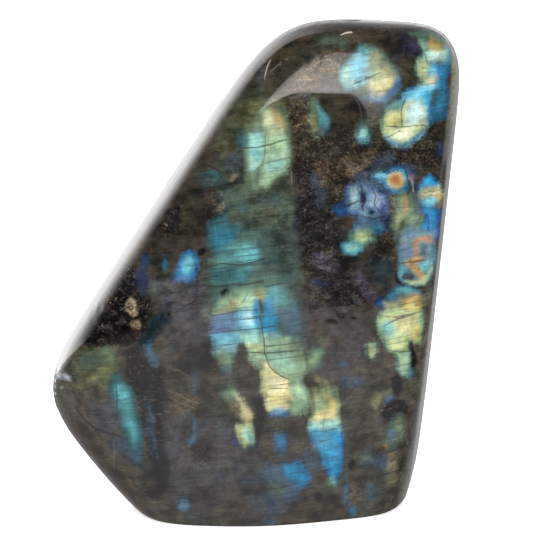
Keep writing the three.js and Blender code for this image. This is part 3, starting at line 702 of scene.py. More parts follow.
# Thin lines: name, width in pixels, darkness (below nothing: a pale line, mostly a scratch, once a
# painted glint), and points.
CRACKS = (
    ("column crack", 1.6, 0.85, "243,148 256,147.5 268,145 277,142 286,139.5"),
    ("column third", 0.9, 0.5, "262,165 270,162 278,160 291,157"),
    ("column divide", 1.2, 0.35, "265.5,133 265,146 264.8,156 262.5,163 258,168 253.5,173"),
    ("upper hair", 0.8, 0.45, "342,73 352,71.5 364,69.5"),
    ("upper crack", 1.5, 0.8, "353,84 361,81 370,77 379,73"),
    ("upper third", 0.9, 0.6, "369,91.5 378,91.5 386,91"),
    ("crown fissure", 1.1, 0.5, "284,62 294,55 304,50 316,48"),
    ("crown fissure low", 1.1, 0.45, "276,92 288,82 297,79 306,72 318,66"),
    ("corner line", 0.9, 0.35, "430,62.5 440,62 449,63"),
    ("corner seam", 1.3, 0.6, "408,38 416,43 422,49 426,56 427,64"),
    ("big crack", 1.1, 0.65, "406,97 403,104 401,112 402,119 402,126"),
    ("big level", 1.1, 0.8, "384,126 394,126.5 402,127 412,126 424,125"),
    ("big low", 1.0, 0.7, "400,131 396,133 391,135.5 386,138"),
    ("centre one", 1.3, 0.7, "209,267 222,263.5 240,265 252,262.5 264,259"),
    ("centre two", 0.9, 0.4, "211,273 224,271.5 235,270"),
    ("centre three", 1.4, 0.7, "208,286.5 222,286.5 232,284.5 246,284.5 263,281"),
    ("centre four", 1.2, 0.7, "267,286.5 272,285.5 281,283"),
    ("centre slash", 0.9, 0.6, "242,303 245,298 248,293"),
    ("centre bar", 1.1, 0.5, "259.5,314 261.5,324 263.5,338"),
    ("centre five", 1.1, 0.6, "211,316 226,313.5 241,310.5 256,310"),
    ("centre six", 1.2, 0.65, "208,334 226,331.5 240,330 258,328.5 275,326"),
    ("centre eight", 1.0, 0.5, "264,346 280,345 300,342.5"),
    ("centre nine", 1.2, 0.6, "247,352 264,353 280,352 300,350.5"),
    ("centre divide", 1.3, 0.7, "264,338 264.5,352 267,360 270,367 276,372.5 282,376.5 288,379"),
    ("cream level", 0.9, 0.6, "271,388.5 288,388.5"),
    ("cream hair", 0.8, 0.35, "266,396.5 276,397 287,395.5"),
    ("yellow two", 1.0, 0.6, "382,316 396,317 408,314.5 421,312"),
    ("yellow three", 1.2, 0.7, "384,326 391,322 398,319 407,316.5 415,314"),
    ("yellow low", 1.1, 0.6, "390,350.5 400,352 410,351"),
    ("yellow top", 0.9, 0.5, "402,304.5 412,302 422,300"),
    ("waist", 1.3, 0.8, "399,264 407,262 414,262 424,260"),
    ("edge one", 1.0, 0.5, "424,193 432,191.5 440,190.5"),
    ("edge split", 1.2, 0.6, "427,215 429,221 428,230"),
    ("band level", 0.8, 0.4, "398,207.5 412,207 430,208"),
    ("west arc", 2.0, 0.7, "201,165 209,166 216,169 222,172.5"),
    ("west level", 1.5, 0.7, "176,312 184,307 190,304 197,299"),
    ("cloud one", 1.6, 0.8, "361,186 363,193 366,199 362,206 363,210"),
    ("cloud two", 1.4, 0.7, "344,206 352,204 358,201"),
    ("cloud three", 1.2, 0.6, "372,188 376,196 374,204 379,211"),
    ("cloud four", 1.1, 0.6, "350,215 362,216 374,219 384,216"),
    ("eye seam", 1.3, 0.8, "405,168 407,176 409,186 408,194"),
    ("heart seam", 1.0, 0.4, "352,94 359,104 362,116 358,128"),
    ("crown bend", 1.2, 0.7, "404,30 408,37 405,46 402,58"),
    ("crown twig", 1.0, 0.6, "392,62 398,68 400,75"),
    ("lower sweep", 1.0, 0.55, "100,404 118,402 136,396 150,390"),
    ("lower bend", 1.0, 0.45, "236,482 256,488 276,489 288,486"),
    ("field bend", 1.0, 0.45, "206,318 190,330 172,342 160,350"),
    ("olive crack", 1.7, 0.8, "76,408 80,414 88,423 98,430 110,433 121,436.5"),
    ("olive edge", 1.6, 0.8, "80,390 88,389 97,385.5"),
    ("streak divide", 1.5, 0.6, "116.5,386 117,398 117,409"),
    ("streak level", 1.0, 0.4, "112,448 126,446 136,446"),
    ("tongue hair", 0.8, 0.4, "326,412 324,420 323,430"),
    ("tongue one", 1.0, 0.4, "311,432 322,431.5 338,428.5"),
    ("tongue two", 0.9, 0.5, "320,441.5 330,439.5 341,436.5"),
    ("slab one", 1.1, 0.6, "276,463 288,462 298,460.5"),
    ("slab two", 0.9, 0.4, "290,473 300,472 306,474"),
    ("rise crack", 1.2, 0.6, "385,453 392,451.5 400,448 409,444"),
    ("south crack", 1.6, 0.5, "370,480 386,474 399,470"),
    ("crown streak", 1.1, 0.3, "272,86 283,70 300,55 316,46 330,42"),
    ("crown streak two", 1.0, 0.25, "286,88 296,72 310,58"),
    ("crown scratch", 1.2, -0.12, "270,72 280,63 292,56"),
    ("scratch", 0.9, -0.6, "270,60.5 267.5,66 266,71 265,77"),
    # painted highlight: a glint on the top edge, drawn as a pale line
    ("painted chip glint", 1.6, -0.9, "343,33.5 347,32.5 351,32"),
    ("bed scratch one", 0.8, -0.08, "168,391 178,394 190,401 198,403"),
    ("bed scratch two", 0.8, -0.08, "170,397 182,404 194,408"),
    ("bed scratch three", 0.8, -0.06, "172,369 180,371 188,376"),
    ("west post", 0.9, -0.06, "114,440 114.5,454 114,468"),
    ("fleck pole", 1.2, -0.12, "291.5,172 291.8,183"),
    ("fleck eye", 1.0, -0.25, "412.5,181 413,186 413.8,191"),
)


# ---------------------------------------------------------------- the stage
# The picture is square, 550 pixels a side. The heart lies at this pixel of it, and the
# camera stands this far away and this high above level, with this many mm to a pixel.
PICTURE = 550
HEART_PIXEL = (275, 300)
CAMERA_DISTANCE = 1100
CAMERA_ELEVATION = math.radians(10)
PIXEL = 0.3346
SENSOR = 36
WORLD_SOFT = 0.3  # how bright the world is for the stone's colours
WORLD_MIRRORED = 0.02  # and how bright it is where it is mirrored
FLOOR_SIZE = 6
FLOOR_COLOR = (0.95, 0.95, 0.95, 1)
FLOOR_LIFT = 0.7
CAMERA_UP = np.array([0, math.sin(CAMERA_ELEVATION), math.cos(CAMERA_ELEVATION)])
CAMERA_BACK = np.array([0, -math.cos(CAMERA_ELEVATION), math.sin(CAMERA_ELEVATION)])


def make_camera():
    data = bpy.data.cameras.new("camera")
    data.sensor_width = SENSOR
    data.lens = SENSOR * CAMERA_DISTANCE / PIXEL / PICTURE
    camera = bpy.data.objects.new("camera", data)
    bpy.context.scene.collection.objects.link(camera)
    camera.location = Vector((HEART + CAMERA_BACK * CAMERA_DISTANCE) * MM)
    aim = Vector((HEART + CAMERA_UP * (HEART_PIXEL[1] - PICTURE / 2) * PIXEL) * MM)
    camera.rotation_euler = (aim - camera.location).to_track_quat("-Z", "Y").to_euler()
    bpy.context.scene.camera = camera


def picture_pixels(points):
    """Where points, from the heart in mm, fall in the picture."""
    depth = CAMERA_DISTANCE - points @ CAMERA_BACK
    scale = CAMERA_DISTANCE / depth / PIXEL
    across = HEART_PIXEL[0] + points[:, 0] * scale
    down = HEART_PIXEL[1] - points @ CAMERA_UP * scale
    return across, down


def toward(bearing, elevation, distance):
    """A place this far from the heart. Bearing 0 is the front, 90 the right."""
    b, e = math.radians(bearing), math.radians(elevation)
    way = np.array([math.sin(b) * math.cos(e), -math.cos(b) * math.cos(e), math.sin(e)])
    return Vector(HEART * MM + way * distance)


def area_light(name, place, size, radiance):
    """A soft lamp facing the stone. It lights the colours and isn't mirrored."""
    data = bpy.data.lights.new(name, "AREA")
    data.shape = "RECTANGLE"
    data.size, data.size_y = size
    data.energy = radiance * math.pi * size[0] * size[1]
    light = bpy.data.objects.new(name, data)
    bpy.context.scene.collection.objects.link(light)
    light.location = place
    aim = Vector(HEART * MM) - place
    light.rotation_euler = aim.to_track_quat("-Z", "Y").to_euler()
    light.visible_glossy = False


# Soft lamps: bearing and elevation in degrees and distance in metres, width and height
# in metres, and radiance.
LAMPS = {
    "front lamp": ((-8, 42, 2.0), (1.6, 1.2), 5.0),
    "low lamp": ((6, 6, 2.4), (2.0, 0.9), 1.2),
    "back lamp": ((170, 40, 2.2), (1.8, 1.2), 3.0),
}

# Cards that are only mirrored in the stone: how far in metres, how much of its light each
# keeps at its low and its high edge, and its shape, as bearing, lowest and highest
# elevation in degrees seen from the heart, and radiance there.
CARDS = {
    "softbox": (6.4, (1, 0.45), (
        (-4.5, 22, 23, 4.6), (-3, 23.3, 30, 4.8), (-1.5, 24.5, 38, 5), (1, 26, 46, 5),
        (4, 24.5, 44, 4.6), (6.5, 23, 38, 4), (8, 20.5, 34, 3.4), (10.5, 16.5, 30, 2.6),
        (12, 15.2, 27, 1.6), (13, 16, 24, 0.6),
    )),
    "table": (10, (1, 1), (
        (-180, -89, -6, 0.4), (-120, -89, -7, 0.3), (-60, -89, -6, 0.5), (-19, -89, -5, 0.66),
        (-14, -89, -2, 0.66), (-10, -89, 0, 0.66), (-6, -89, 1, 0.66), (0, -89, 2, 0.66),
        (6, -89, 0, 0.66), (12, -89, -3, 0.66), (28, -89, -10, 0.66), (50, -89, -10, 0.5),
        (100, -89, -7, 0.2), (180, -89, -6, 0.16),
    )),
    "left wall": (8, (1.15, 0.45), (
        (-182, -10, 80, 0.8), (-170, -10, 80, 1.0), (-160, -9, 80, 1.6), (-150, -8, 80, 2.6),
        (-145, -7, 78, 2.0), (-141, -5, 76, 3.4), (-135, -4, 74, 2.6), (-129, -2, 70, 3.8),
        (-121, -1, 66, 3.2), (-114, 0, 60, 3.5), (-107, 1, 55, 3.0), (-100, 2, 50, 2.9),
        (-92, 3, 48, 2.3), (-84, 4, 46, 1.6), (-75, 5, 44, 0.9), (-66, 6, 42, 0.4),
        (-58, 7, 40, 0.05),
    )),
    "left sill": (8.2, (0.1, 0.7), (
        (-182, -18, -10, 0.7), (-160, -17, -9, 1.1), (-140, -14, -5, 2.4), (-128, -12, -2, 2.6),
        (-114, -9, 0, 2.2), (-100, -6, 2, 1.3), (-84, -3, 4, 0.6),
    )),
    "right wall": (8, (1, 1), (
        (80, -6, 3, 0.4), (92, -7, 4, 1.1), (110, -8, 5, 1.2), (130, -10, 8, 1.2),
        (145, -15, 9, 1.0), (157, -16, 10, 0.6), (179, -16, 14, 0.35),
    )),
    "right sill": (8.2, (0, 0.9), (
        (70, -30, -16, 0.1), (92, -30, -16, 0.2), (110, -30, -16, 0.25), (125, -30, -16, 0.35),
        (145, -29, -15, 0.5), (157, -28, -16, 0.45), (179, -27, -16, 0.3),
    )),
    "ceiling": (7.6, (0.7, 0.0), (
        (100, 4, 89, 1.9), (140, 4, 89, 1.9), (178, 4, 89, 1.9),
    )),
}
CARD_STEP = 4  # degrees between a card's corners


def card_corners(distance, shares, profile):
    """A card's corners in rows, and the radiance at each."""
    bearings, lows, highs, radiances = np.array(profile, dtype=float).T
    count = max(1, int((bearings[-1] - bearings[0]) / CARD_STEP))
    across = np.union1d(bearings, np.linspace(bearings[0], bearings[-1], count + 1))
    rows = max(2, int((highs - lows).max() / CARD_STEP)) + 1
    corners, glow = [], []
    for bearing in across:
        low, high, radiance = (np.interp(bearing, bearings, p) for p in (lows, highs, radiances))
        for rise in np.linspace(0, 1, rows):
            corners.append(toward(bearing, low + (high - low) * rise, distance))
            glow.append(radiance * (shares[0] + (shares[1] - shares[0]) * rise))
    faces = [
        (i * rows + j, (i + 1) * rows + j, (i + 1) * rows + j + 1, i * rows + j + 1)
        for i in range(len(across) - 1)
        for j in range(rows - 1)
    ]
    return corners, faces, glow


def card_material():
    material = bpy.data.materials.new("card")
    material.use_nodes = True
    nodes = material.node_tree.nodes
    shader = nodes["Principled BSDF"]
    shader.inputs["Base Color"].default_value = (0, 0, 0, 1)
    shader.inputs["Specular IOR Level"].default_value = 0
    shader.inputs["Emission Color"].default_value = (1, 1, 1, 1)
    glow = nodes.new("ShaderNodeAttribute")
    glow.attribute_name = "glow"
    material.node_tree.links.new(glow.outputs["Fac"], shader.inputs["Emission Strength"])
    return material


def make_card(name, rows, material):
    corners, faces, glow = card_corners(*rows)
    mesh = bpy.data.meshes.new(name)
    mesh.from_pydata(corners, [], faces)
    mesh.attributes.new("glow", "FLOAT", "POINT").data.foreach_set("value", glow)
    mesh.materials.append(material)
    card = bpy.data.objects.new(name, mesh)
    bpy.context.scene.collection.objects.link(card)
    card.visible_camera = card.visible_diffuse = card.visible_shadow = False
    card.visible_transmission = card.visible_volume_scatter = False


def make_lights():
    """Broad lamps light the colours, and plain cards round the stone are mirrored in it."""
    for name, (place, size, radiance) in LAMPS.items():
        area_light(name, toward(*place), size, radiance)
    material = card_material()
    for name, rows in CARDS.items():
        make_card(name, rows, material)


def make_world():
    """White round the stone for the camera, soft for its colours, dark in its mirror."""
    world = bpy.data.worlds.new("studio")
    bpy.context.scene.world = world
    world.use_nodes = True
    nodes, links = world.node_tree.nodes, world.node_tree.links
    background = nodes["Background"]
    path = nodes.new("ShaderNodeLightPath")
    shade = nodes.new("ShaderNodeMapRange")
    shade.inputs["To Min"].default_value = WORLD_SOFT
    shade.inputs["To Max"].default_value = WORLD_MIRRORED
    seen = nodes.new("ShaderNodeMath")
    seen.operation = "MAXIMUM"
    links.new(path.outputs["Is Glossy Ray"], shade.inputs["Value"])
    links.new(shade.outputs["Result"], seen.inputs[0])
    links.new(path.outputs["Is Camera Ray"], seen.inputs[1])
    links.new(seen.outputs[0], background.inputs["Strength"])
    background.inputs["Color"].default_value = (1, 1, 1, 1)


def make_floor():
    bpy.ops.mesh.primitive_plane_add(size=FLOOR_SIZE, location=(0, 0, 0))
    floor = bpy.context.object
    floor.name = "floor"
    floor.visible_glossy = False
    material = bpy.data.materials.new("floor")
    material.use_nodes = True
    shader = material.node_tree.nodes["Principled BSDF"]
    shader.inputs["Base Color"].default_value = FLOOR_COLOR
    shader.inputs["Roughness"].default_value = 1
    shader.inputs["Specular IOR Level"].default_value = 0
    shader.inputs["Emission Color"].default_value = (1, 1, 1, 1)
    shader.inputs["Emission Strength"].default_value = FLOOR_LIFT
    floor.data.materials.append(material)


# ---------------------------------------------------------------- painting the front
# Colours are worked out at each corner of the mesh. The body's colour and the flashes'
# colour are kept apart, with the distance to the flashes' edges between them, so that
# the material can draw those edges as thin as the real ones. Lengths are in pixels of
# the picture.
FLASH_COLORS = {
    ABYSS, COBALT, BLUE, AZURE, SKY, ICE, LAVENDER, PERIWINKLE, DUSK, SLATE, STEEL, MIST, LAKE,
    TEAL, LAGOON, CYAN, AQUA, REED, SAGE, FERN, MINT, WILLOW, CELERY, STRAW, CREAM, IVORY, GOLD,
    AMBER, COPPER, INDIGO,
}
BODY_UPPER, BODY_MIDDLE, BODY_LOWER = (56, 50, 40), (56, 50, 43), (73, 70, 65)
BODY_EAST = (86, 82, 71)
RIM_COLOR = (70, 67, 60)
LOWER_FROM, LOWER_FULL = 250, 360  # rows down which the lower colour comes in
MIDDLE_ROWS = (150, 190, 220, 260)  # where the middle colour comes in and goes out
EAST_COLUMNS, EAST_ROWS = (385, 425), (270, 330)
SOFTEST = 2.8  # the least soft edge that the mesh can carry
BLEND_SHARE = 1.9  # how far flashes' colours run into each other, as a share of the edge
BODY_SHARE = 1.3  # the same for the body's colours
WOBBLE = 1.3  # how far the growth of the crystal shifts an edge
WOBBLE_ALONG, WOBBLE_ACROSS = 16, 9
WOBBLE_APART = 31.7  # keeps the shift along unlike the shift across
BLEED = 3.0  # how far a flash's colour runs under its edge
BLEED_YIELD = 4  # how soon that gives way to a flash that is there already
EDGE_LIMIT = 4
JOIN = 0.8  # how readily flashes that touch become one
HIDING = 0.85  # body marks stronger than this hide the flashes under them
FAINTEST = 0.02
HAZE_KEEPS = 0.4  # the least share of a colour that is left without the haze
TABLE_HAZE = 0.028  # what the mirrored table adds to the colours below its far edge
HAZE_TOP, HAZE_FOOT = 285, 330
CRACK_REACH = 8  # how far from a line its distance is kept
CRACK_FAR, CRACK_HALF = 9.0, 0.5  # the distance and half width where no line is near
CRACK_FADE = (2.3, 1.5)  # how near a line its darkness comes in
CRACK_RUNS = {"level": True, "steep": False}
FRONT_FADE = (0.10, 0.42)  # how far a place faces the camera where its marks fade in
FLANK_FADE = (0.35, 0.0)  # the same for the polished sides, which face away


def linear(color):
    """A linear colour from 0 to 1 for an sRGB colour from 0 to 255."""
    c = np.array(color) / 255
    return np.where(c <= 0.04045, c / 12.92, ((c + 0.055) / 1.055) ** 2.4)


def outline_points(text):
    return np.array([[float(n) for n in pair.split(",")] for pair in text.split()])


def oval(text):
    """An oval's middle, half sizes and turn in radians, from "x,y WIDExTALL TURN"."""
    middle, sizes, *turn = text.split()
    turn = math.radians(float(turn[0])) if turn else 0.0
    middle = np.array([float(n) for n in middle.split(",")])
    sizes = np.array([float(n) for n in sizes.split("x")])
    return middle, sizes, turn


def away_from_line(u, v, line):
    """Distance to a line of straight pieces, and on which side of it each place lies."""
    nearest = np.full(len(u), np.inf)
    side = np.ones(len(u))
    for (x0, y0), (x1, y1) in zip(line, line[1:]):
        dx, dy = x1 - x0, y1 - y0
        along = np.clip(((u - x0) * dx + (v - y0) * dy) / (dx * dx + dy * dy), 0, 1)
        away = np.hypot(u - x0 - along * dx, v - y0 - along * dy)
        closer = away < nearest
        nearest = np.where(closer, away, nearest)
        side = np.where(closer, np.sign(dx * (v - y0) - dy * (u - x0)), side)
    return nearest, side


def inside_outline(u, v, outline):
    """How far inside an outline each place lies. Outside, it is less than nothing."""
    closed = np.vstack([outline, outline[:1]])
    nearest, _ = away_from_line(u, v, closed)
    inside = np.zeros(len(u), dtype=bool)
    for (x0, y0), (x1, y1) in zip(closed, closed[1:]):
        if y0 != y1:
            crosses = (y0 > v) != (y1 > v)
            inside ^= crosses & (u < (x1 - x0) * (v - y0) / (y1 - y0) + x0)
    return np.where(inside, nearest, -nearest)


def inside_oval(u, v, middle, sizes, turn):
    """How far inside an oval each place lies, nearly. Outside, it is less than nothing."""
    across, down = u - middle[0], v - middle[1]
    x = (across * math.cos(turn) + down * math.sin(turn)) / sizes[0]
    y = (down * math.cos(turn) - across * math.sin(turn)) / sizes[1]
    slope = 2 * np.hypot(x / sizes[0], y / sizes[1])
    return np.minimum((1 - x * x - y * y) / np.maximum(slope, TINY), sizes.min())


def within(u, v, low, high):
    """Which places lie in a box."""
    return np.flatnonzero((u > low[0]) & (u < high[0]) & (v > low[1]) & (v < high[1]))


def near_shape(u, v, text, reach):
    """The places within reach of a shape, and how far inside it they lie."""
    if "x" in text:
        middle, sizes, turn = oval(text)
        beyond = sizes.max() + reach
        near = within(u, v, middle - beyond, middle + beyond)
        return near, inside_oval(u[near], v[near], middle, sizes, turn)
    outline = outline_points(text)
    near = within(u, v, outline.min(axis=0) - reach, outline.max(axis=0) + reach)
    return near, inside_outline(u[near], v[near], outline)


def cover(depth):
    return smoothstep(-0.5, 0.5, depth)


def wobbled(u, v):
    """Places shifted a little, so that no edge runs straight."""
    grown = np.stack([u / WOBBLE_ALONG, v / WOBBLE_ACROSS, np.zeros(len(u))], axis=1)
    return u + WOBBLE * lumps(grown), v + WOBBLE * lumps(grown + WOBBLE_APART)


def body_colors(u, v):
    """The body's broad colours: olive-brown above, greyer below and to the right."""
    down = smoothstep(LOWER_FROM, LOWER_FULL, v)[:, None]
    color = linear(BODY_UPPER) * (1 - down) + linear(BODY_LOWER) * down
    top, upper, lower, bottom = MIDDLE_ROWS
    middle = (smoothstep(top, upper, v) * smoothstep(bottom, lower, v))[:, None]
    color = color * (1 - middle) + linear(BODY_MIDDLE) * middle
    east = (smoothstep(*EAST_COLUMNS, u) * smoothstep(*EAST_ROWS, v))[:, None]
    return color * (1 - east) + linear(BODY_EAST) * east


class FrontPaint:
    """The body's colour, the flashes' colour and strength, and the depth inside a flash."""

    def __init__(self, u, v):
        self.u, self.v = u, v
        self.body = body_colors(u, v)
        self.flash = np.zeros((len(u), 3))
        self.strength = np.zeros(len(u))
        self.depth = np.full(len(u), -float(EDGE_LIMIT))

    def lay(self, color, soft, opacity, shape):
        soft = max(soft, SOFTEST)
        reach = soft * BLEND_SHARE + BLEED + EDGE_LIMIT
        near, inside = near_shape(self.u, self.v, shape, reach)
        put = self.put_flash if color in FLASH_COLORS else self.put_body
        put(near, inside, linear(color), soft, opacity)

    def put_flash(self, near, inside, paint, soft, opacity):
        bleed = cover((inside + BLEED) / soft) * (1 - self.strength[near]) ** BLEED_YIELD
        weight = opacity * np.maximum(cover(inside / (soft * BLEND_SHARE)), bleed)[:, None]
        self.flash[near] = self.flash[near] * (1 - weight) + paint * weight
        self.strength[near] = self.strength[near] * (1 - weight[:, 0]) + weight[:, 0]
        self.depth[near] = JOIN * np.logaddexp(self.depth[near] / JOIN, inside / soft / JOIN)

    def put_body(self, near, inside, paint, soft, opacity):
        weight = (opacity * cover(inside / (soft * BODY_SHARE)))[:, None]
        self.body[near] += (paint - self.body[near]) * weight
        self.flash[near] += (paint * self.strength[near, None] - self.flash[near]) * weight
        if opacity > HIDING:
            self.depth[near] = np.minimum(self.depth[near], -inside / soft)

    def dry(self):
        """The finished colours, with the flashes' own colour freed from their strength."""
        flash = self.flash / np.maximum(self.strength, FAINTEST)[:, None]
        return self.body, flash, self.strength, np.clip(self.depth, -EDGE_LIMIT, EDGE_LIMIT)


def paint_fields(u, v, fields):
    """How strongly each place lies in one of several fields."""
    total = np.zeros(len(u))
    for _, soft, amount, shape in fields:
        near, inside = near_shape(u, v, shape, soft)
        total[near] = np.maximum(total[near], amount * cover(inside / soft))
    return total


def runs_level(line):
    across, down = np.abs(np.diff(line, axis=0)).sum(axis=0)
    return across > down


def crack_lines(u, v, level):
    """Signed distance to the nearest level or steep line, its half width and darkness."""
    away = np.full(len(u), CRACK_FAR)
    half = np.full(len(u), CRACK_HALF)
    dark = np.zeros(len(u))
    for _, width, darkness, text in CRACKS:
        line = outline_points(text)
        if runs_level(line) != level:
            continue
        near = within(u, v, line.min(axis=0) - CRACK_REACH, line.max(axis=0) + CRACK_REACH)
        distance, side = away_from_line(u[near], v[near], line)
        closer = distance < np.abs(away[near])
        chosen = near[closer]
        away[chosen] = (distance * side)[closer]
        half[chosen] = width / 2
        dark[chosen] = darkness * smoothstep(*CRACK_FADE, distance[closer])
    return away, half, dark


def set_attribute(mesh, name, values, kind="FLOAT"):
    attribute = mesh.attributes.new(name, kind, "POINT")
    key = "color" if kind == "FLOAT_COLOR" else "value"
    attribute.data.foreach_set(key, np.ascontiguousarray(values, dtype=np.float32).ravel())


def front_only(values, front, count, rest=0.0):
    """Values for the corners of the front, and one value for all the others."""
    every = np.full((count, *values.shape[1:]), rest, dtype=float)
    every[front] = values
    return every


def without_haze(colors, v):
    """Colours less what the mirrored table will add to them."""
    haze = TABLE_HAZE * smoothstep(HAZE_TOP, HAZE_FOOT, v)[:, None]
    return np.maximum(colors - haze, colors * HAZE_KEEPS)


def paint_colors(mesh, u, v, front, shown):
    paint = FrontPaint(*wobbled(u[front], v[front]))
    for _, *mark in MARKS:
        paint.lay(*mark)
    body, flash, strength, depth = paint.dry()
    fade = shown[front, None]
    body = linear(RIM_COLOR) * (1 - fade) + without_haze(body, v[front]) * fade
    body = front_only(body, front, len(u), linear(RIM_COLOR))
    flash = np.column_stack([without_haze(flash, v[front]), strength])
    depth = np.minimum(depth, EDGE_LIMIT * (2 * shown[front] - 1))
    set_attribute(mesh, "body", np.column_stack([body, np.ones(len(u))]), "FLOAT_COLOR")
    set_attribute(mesh, "flash", front_only(flash, front, len(u)), "FLOAT_COLOR")
    set_attribute(mesh, "edge", front_only(depth, front, len(u), -EDGE_LIMIT))


def paint_grain(mesh, u, v, front, shown):
    places = wobbled(u[front], v[front])
    grit = front_only(paint_fields(*places, GRIT), front, len(u)) * shown
    set_attribute(mesh, "grit", grit)
    set_attribute(mesh, "lamella", front_only(paint_fields(*places, LAMELLAE), front, len(u)))


def paint_cracks(mesh, u, v, front, shown):
    for name, level in CRACK_RUNS.items():
        away, half, dark = crack_lines(u[front], v[front], level)
        set_attribute(mesh, name + "_away", front_only(away, front, len(u), CRACK_FAR))
        set_attribute(mesh, name + "_half", front_only(half, front, len(u), CRACK_HALF))
        set_attribute(mesh, name + "_dark", front_only(dark, front, len(u)) * shown)


def paint_stone(mesh, points, rough):
    normals = np.empty(len(mesh.vertices) * 3, dtype=np.float32)
    mesh.vertex_normals.foreach_get("vector", normals)
    facing = normals.reshape(-1, 3) @ CAMERA_BACK
    front = np.flatnonzero(facing > 0)
    shown = smoothstep(*FRONT_FADE, facing)
    u, v = picture_pixels(points)
    paint_colors(mesh, u, v, front, shown)
    paint_grain(mesh, u, v, front, shown)
    paint_cracks(mesh, u, v, front, shown)
    set_attribute(mesh, "rough", rough)
    set_attribute(mesh, "flank", smoothstep(*FLANK_FADE, facing))


# ---------------------------------------------------------------- the material
PALE_BREAK, IRON_STAIN = (96, 93, 84), (116, 84, 54)
FLASH_WARM, FLASH_COOL = (1.08, 1.0, 0.86), (0.94, 1.0, 1.04)
FOG_TEAL, FOG_BROWN, FOG_BLUE = (0.88, 1.05, 1.06), (1.07, 1.0, 0.9), (0.84, 0.96, 1.24)
HALO = (0.36, 0.74, 1.04)  # what the blue halo leaves of a flash's colour
HALO_DEPTH = (1.7, -0.2)  # pixels inside a flash's edge from which its blue halo grows
HALO_EAST = (12 * MM, 30 * MM, 0.15, 0.8)  # the halo is weak on the left, strong on the right
HALO_RAGGED = 0.5
IOR_FELDSPAR = 1.56
LAMELLA_TILT = math.radians(7)  # the lamellae rise to the right
STEP_TILT = math.radians(-20)
FLASH_EDGE = (-0.75, 0.75)
RAGGED = {"fibres": 1.2, "fine": 1.5, "twins": 1.6}  # pixels by which each frays an edge
CRACK_EDGE = (-0.35, 0.5, 1.0, 0.0)
CRACK_THINNED = 1.1  # pixels by which the clouds thin a crack
CRACK_DULL = 0.35  # how rough a dark crack is
# how strongly the painted glints and the pale curls show
GLINT_AND_CURL_SHARE = 0.85
DIM_GLOW, DIM_RAGGED, DIM_PATCHES = 1.1, 0.03, (0.57, 0.66, 0.0, 0.6)
RELIEF = 0.9 * MM
RELIEF_PARTS = {"steps": 1.5, "speck": 0.5, "block 1": 0.35}

# Each noise's lengths in mm along X, Y and Z, its tilt, detail and roughness, and a shift
# that keeps it unlike the others.
NOISES = {
    "fibres": ((14, 9, 0.62), LAMELLA_TILT, 3, 0.55, (0, 0, 0)),
    "bands": ((34, 20, 2.3), LAMELLA_TILT, 2, 0.5, (3, 5, 7)),
    "twins": ((1.1, 6, 9), LAMELLA_TILT, 2, 0.5, (11, 2, 5)),
    "grains": ((0.3, 0.3, 0.26), 0, 2, 0.6, (3, 3, 8)),
    "fine": ((0.75, 0.75, 0.6), 0, 3, 0.65, (9, 1, 4)),
    "clouds": ((6, 6, 4.5), LAMELLA_TILT, 5, 0.6, (1, 8, 3)),
    "fog": ((9, 9, 12), LAMELLA_TILT, 4, 0.6, (6, 3, 2)),
    "mist": ((7, 7, 7), 0, 4, 0.6, (2, 9, 6)),
    "blues": ((4, 4, 5), LAMELLA_TILT, 4, 0.6, (4, 1, 9)),
    "blotch": ((2.2, 2.2, 1.7), 0, 3, 0.6, (5, 5, 1)),
    "curls": ((1.5, 1.5, 1.3), 0, 2, 0.6, (1, 4, 2)),
    "fissures": ((6, 6, 5), 0, 5, 0.65, (8, 5, 2)),
    "strata": ((130, 80, 3.2), LAMELLA_TILT, 2, 0.5, (7, 7, 2)),
    "hairs": ((2.6, 50, 60), -LAMELLA_TILT, 2, 0.5, (6, 2, 8)),
    "seams": ((90, 60, 6), LAMELLA_TILT, 3, 0.5, (2, 2, 6)),
    "dim": ((7, 7, 17), -LAMELLA_TILT, 3, 0.55, (3, 9, 1)),
    "hue": ((11, 11, 9), 0, 2, 0.5, (7, 1, 3)),
    "stain": ((16, 16, 13), 0, 5, 0.65, (2, 4, 9)),
    "speck": ((1.9, 1.9, 1.4), 0, 4, 0.6, (8, 3, 6)),
    "steps": ((5, 3.5, 0.9), STEP_TILT, 4, 0.6, (4, 4, 4)),
}
# Crystals, each with three random numbers of its own: their lengths in mm, and a shift.
CRYSTALS = {
    "grain": ((0.55, 0.55, 0.45), (0, 0, 0)),
    "clump": ((1.5, 1.5, 1.1), (3, 3, 3)),
    "block": ((8, 8, 5), (5, 2, 7)),
}
# Thin lines along a noise's contours: how many, how far from one the line is full and
# where it ends, and how strong it is.
CONTOURS = {
    "curls": (4.5, 0.0, 0.11, 0.85),
    "fissures": (3, 0.02, 0.1, 0.75),
    "strata": (3.5, 0.01, 0.07, 1.0),
    "hairs": (6, 0.0, 0.07, 1.0),
    "seams": (5, 0.0, 0.05, 1.0),
}
# Where a noise brings in a tint.
BODY_TINTS = (
    ("fog", 0.42, 0.66, FOG_TEAL),
    ("mist", 0.46, 0.7, FOG_BROWN),
    ("blues", 0.5, 0.66, FOG_BLUE),
)
FLASH_TINTS = (("mist", 0.45, 0.7, FLASH_WARM), ("fog", 0.45, 0.7, FLASH_COOL))
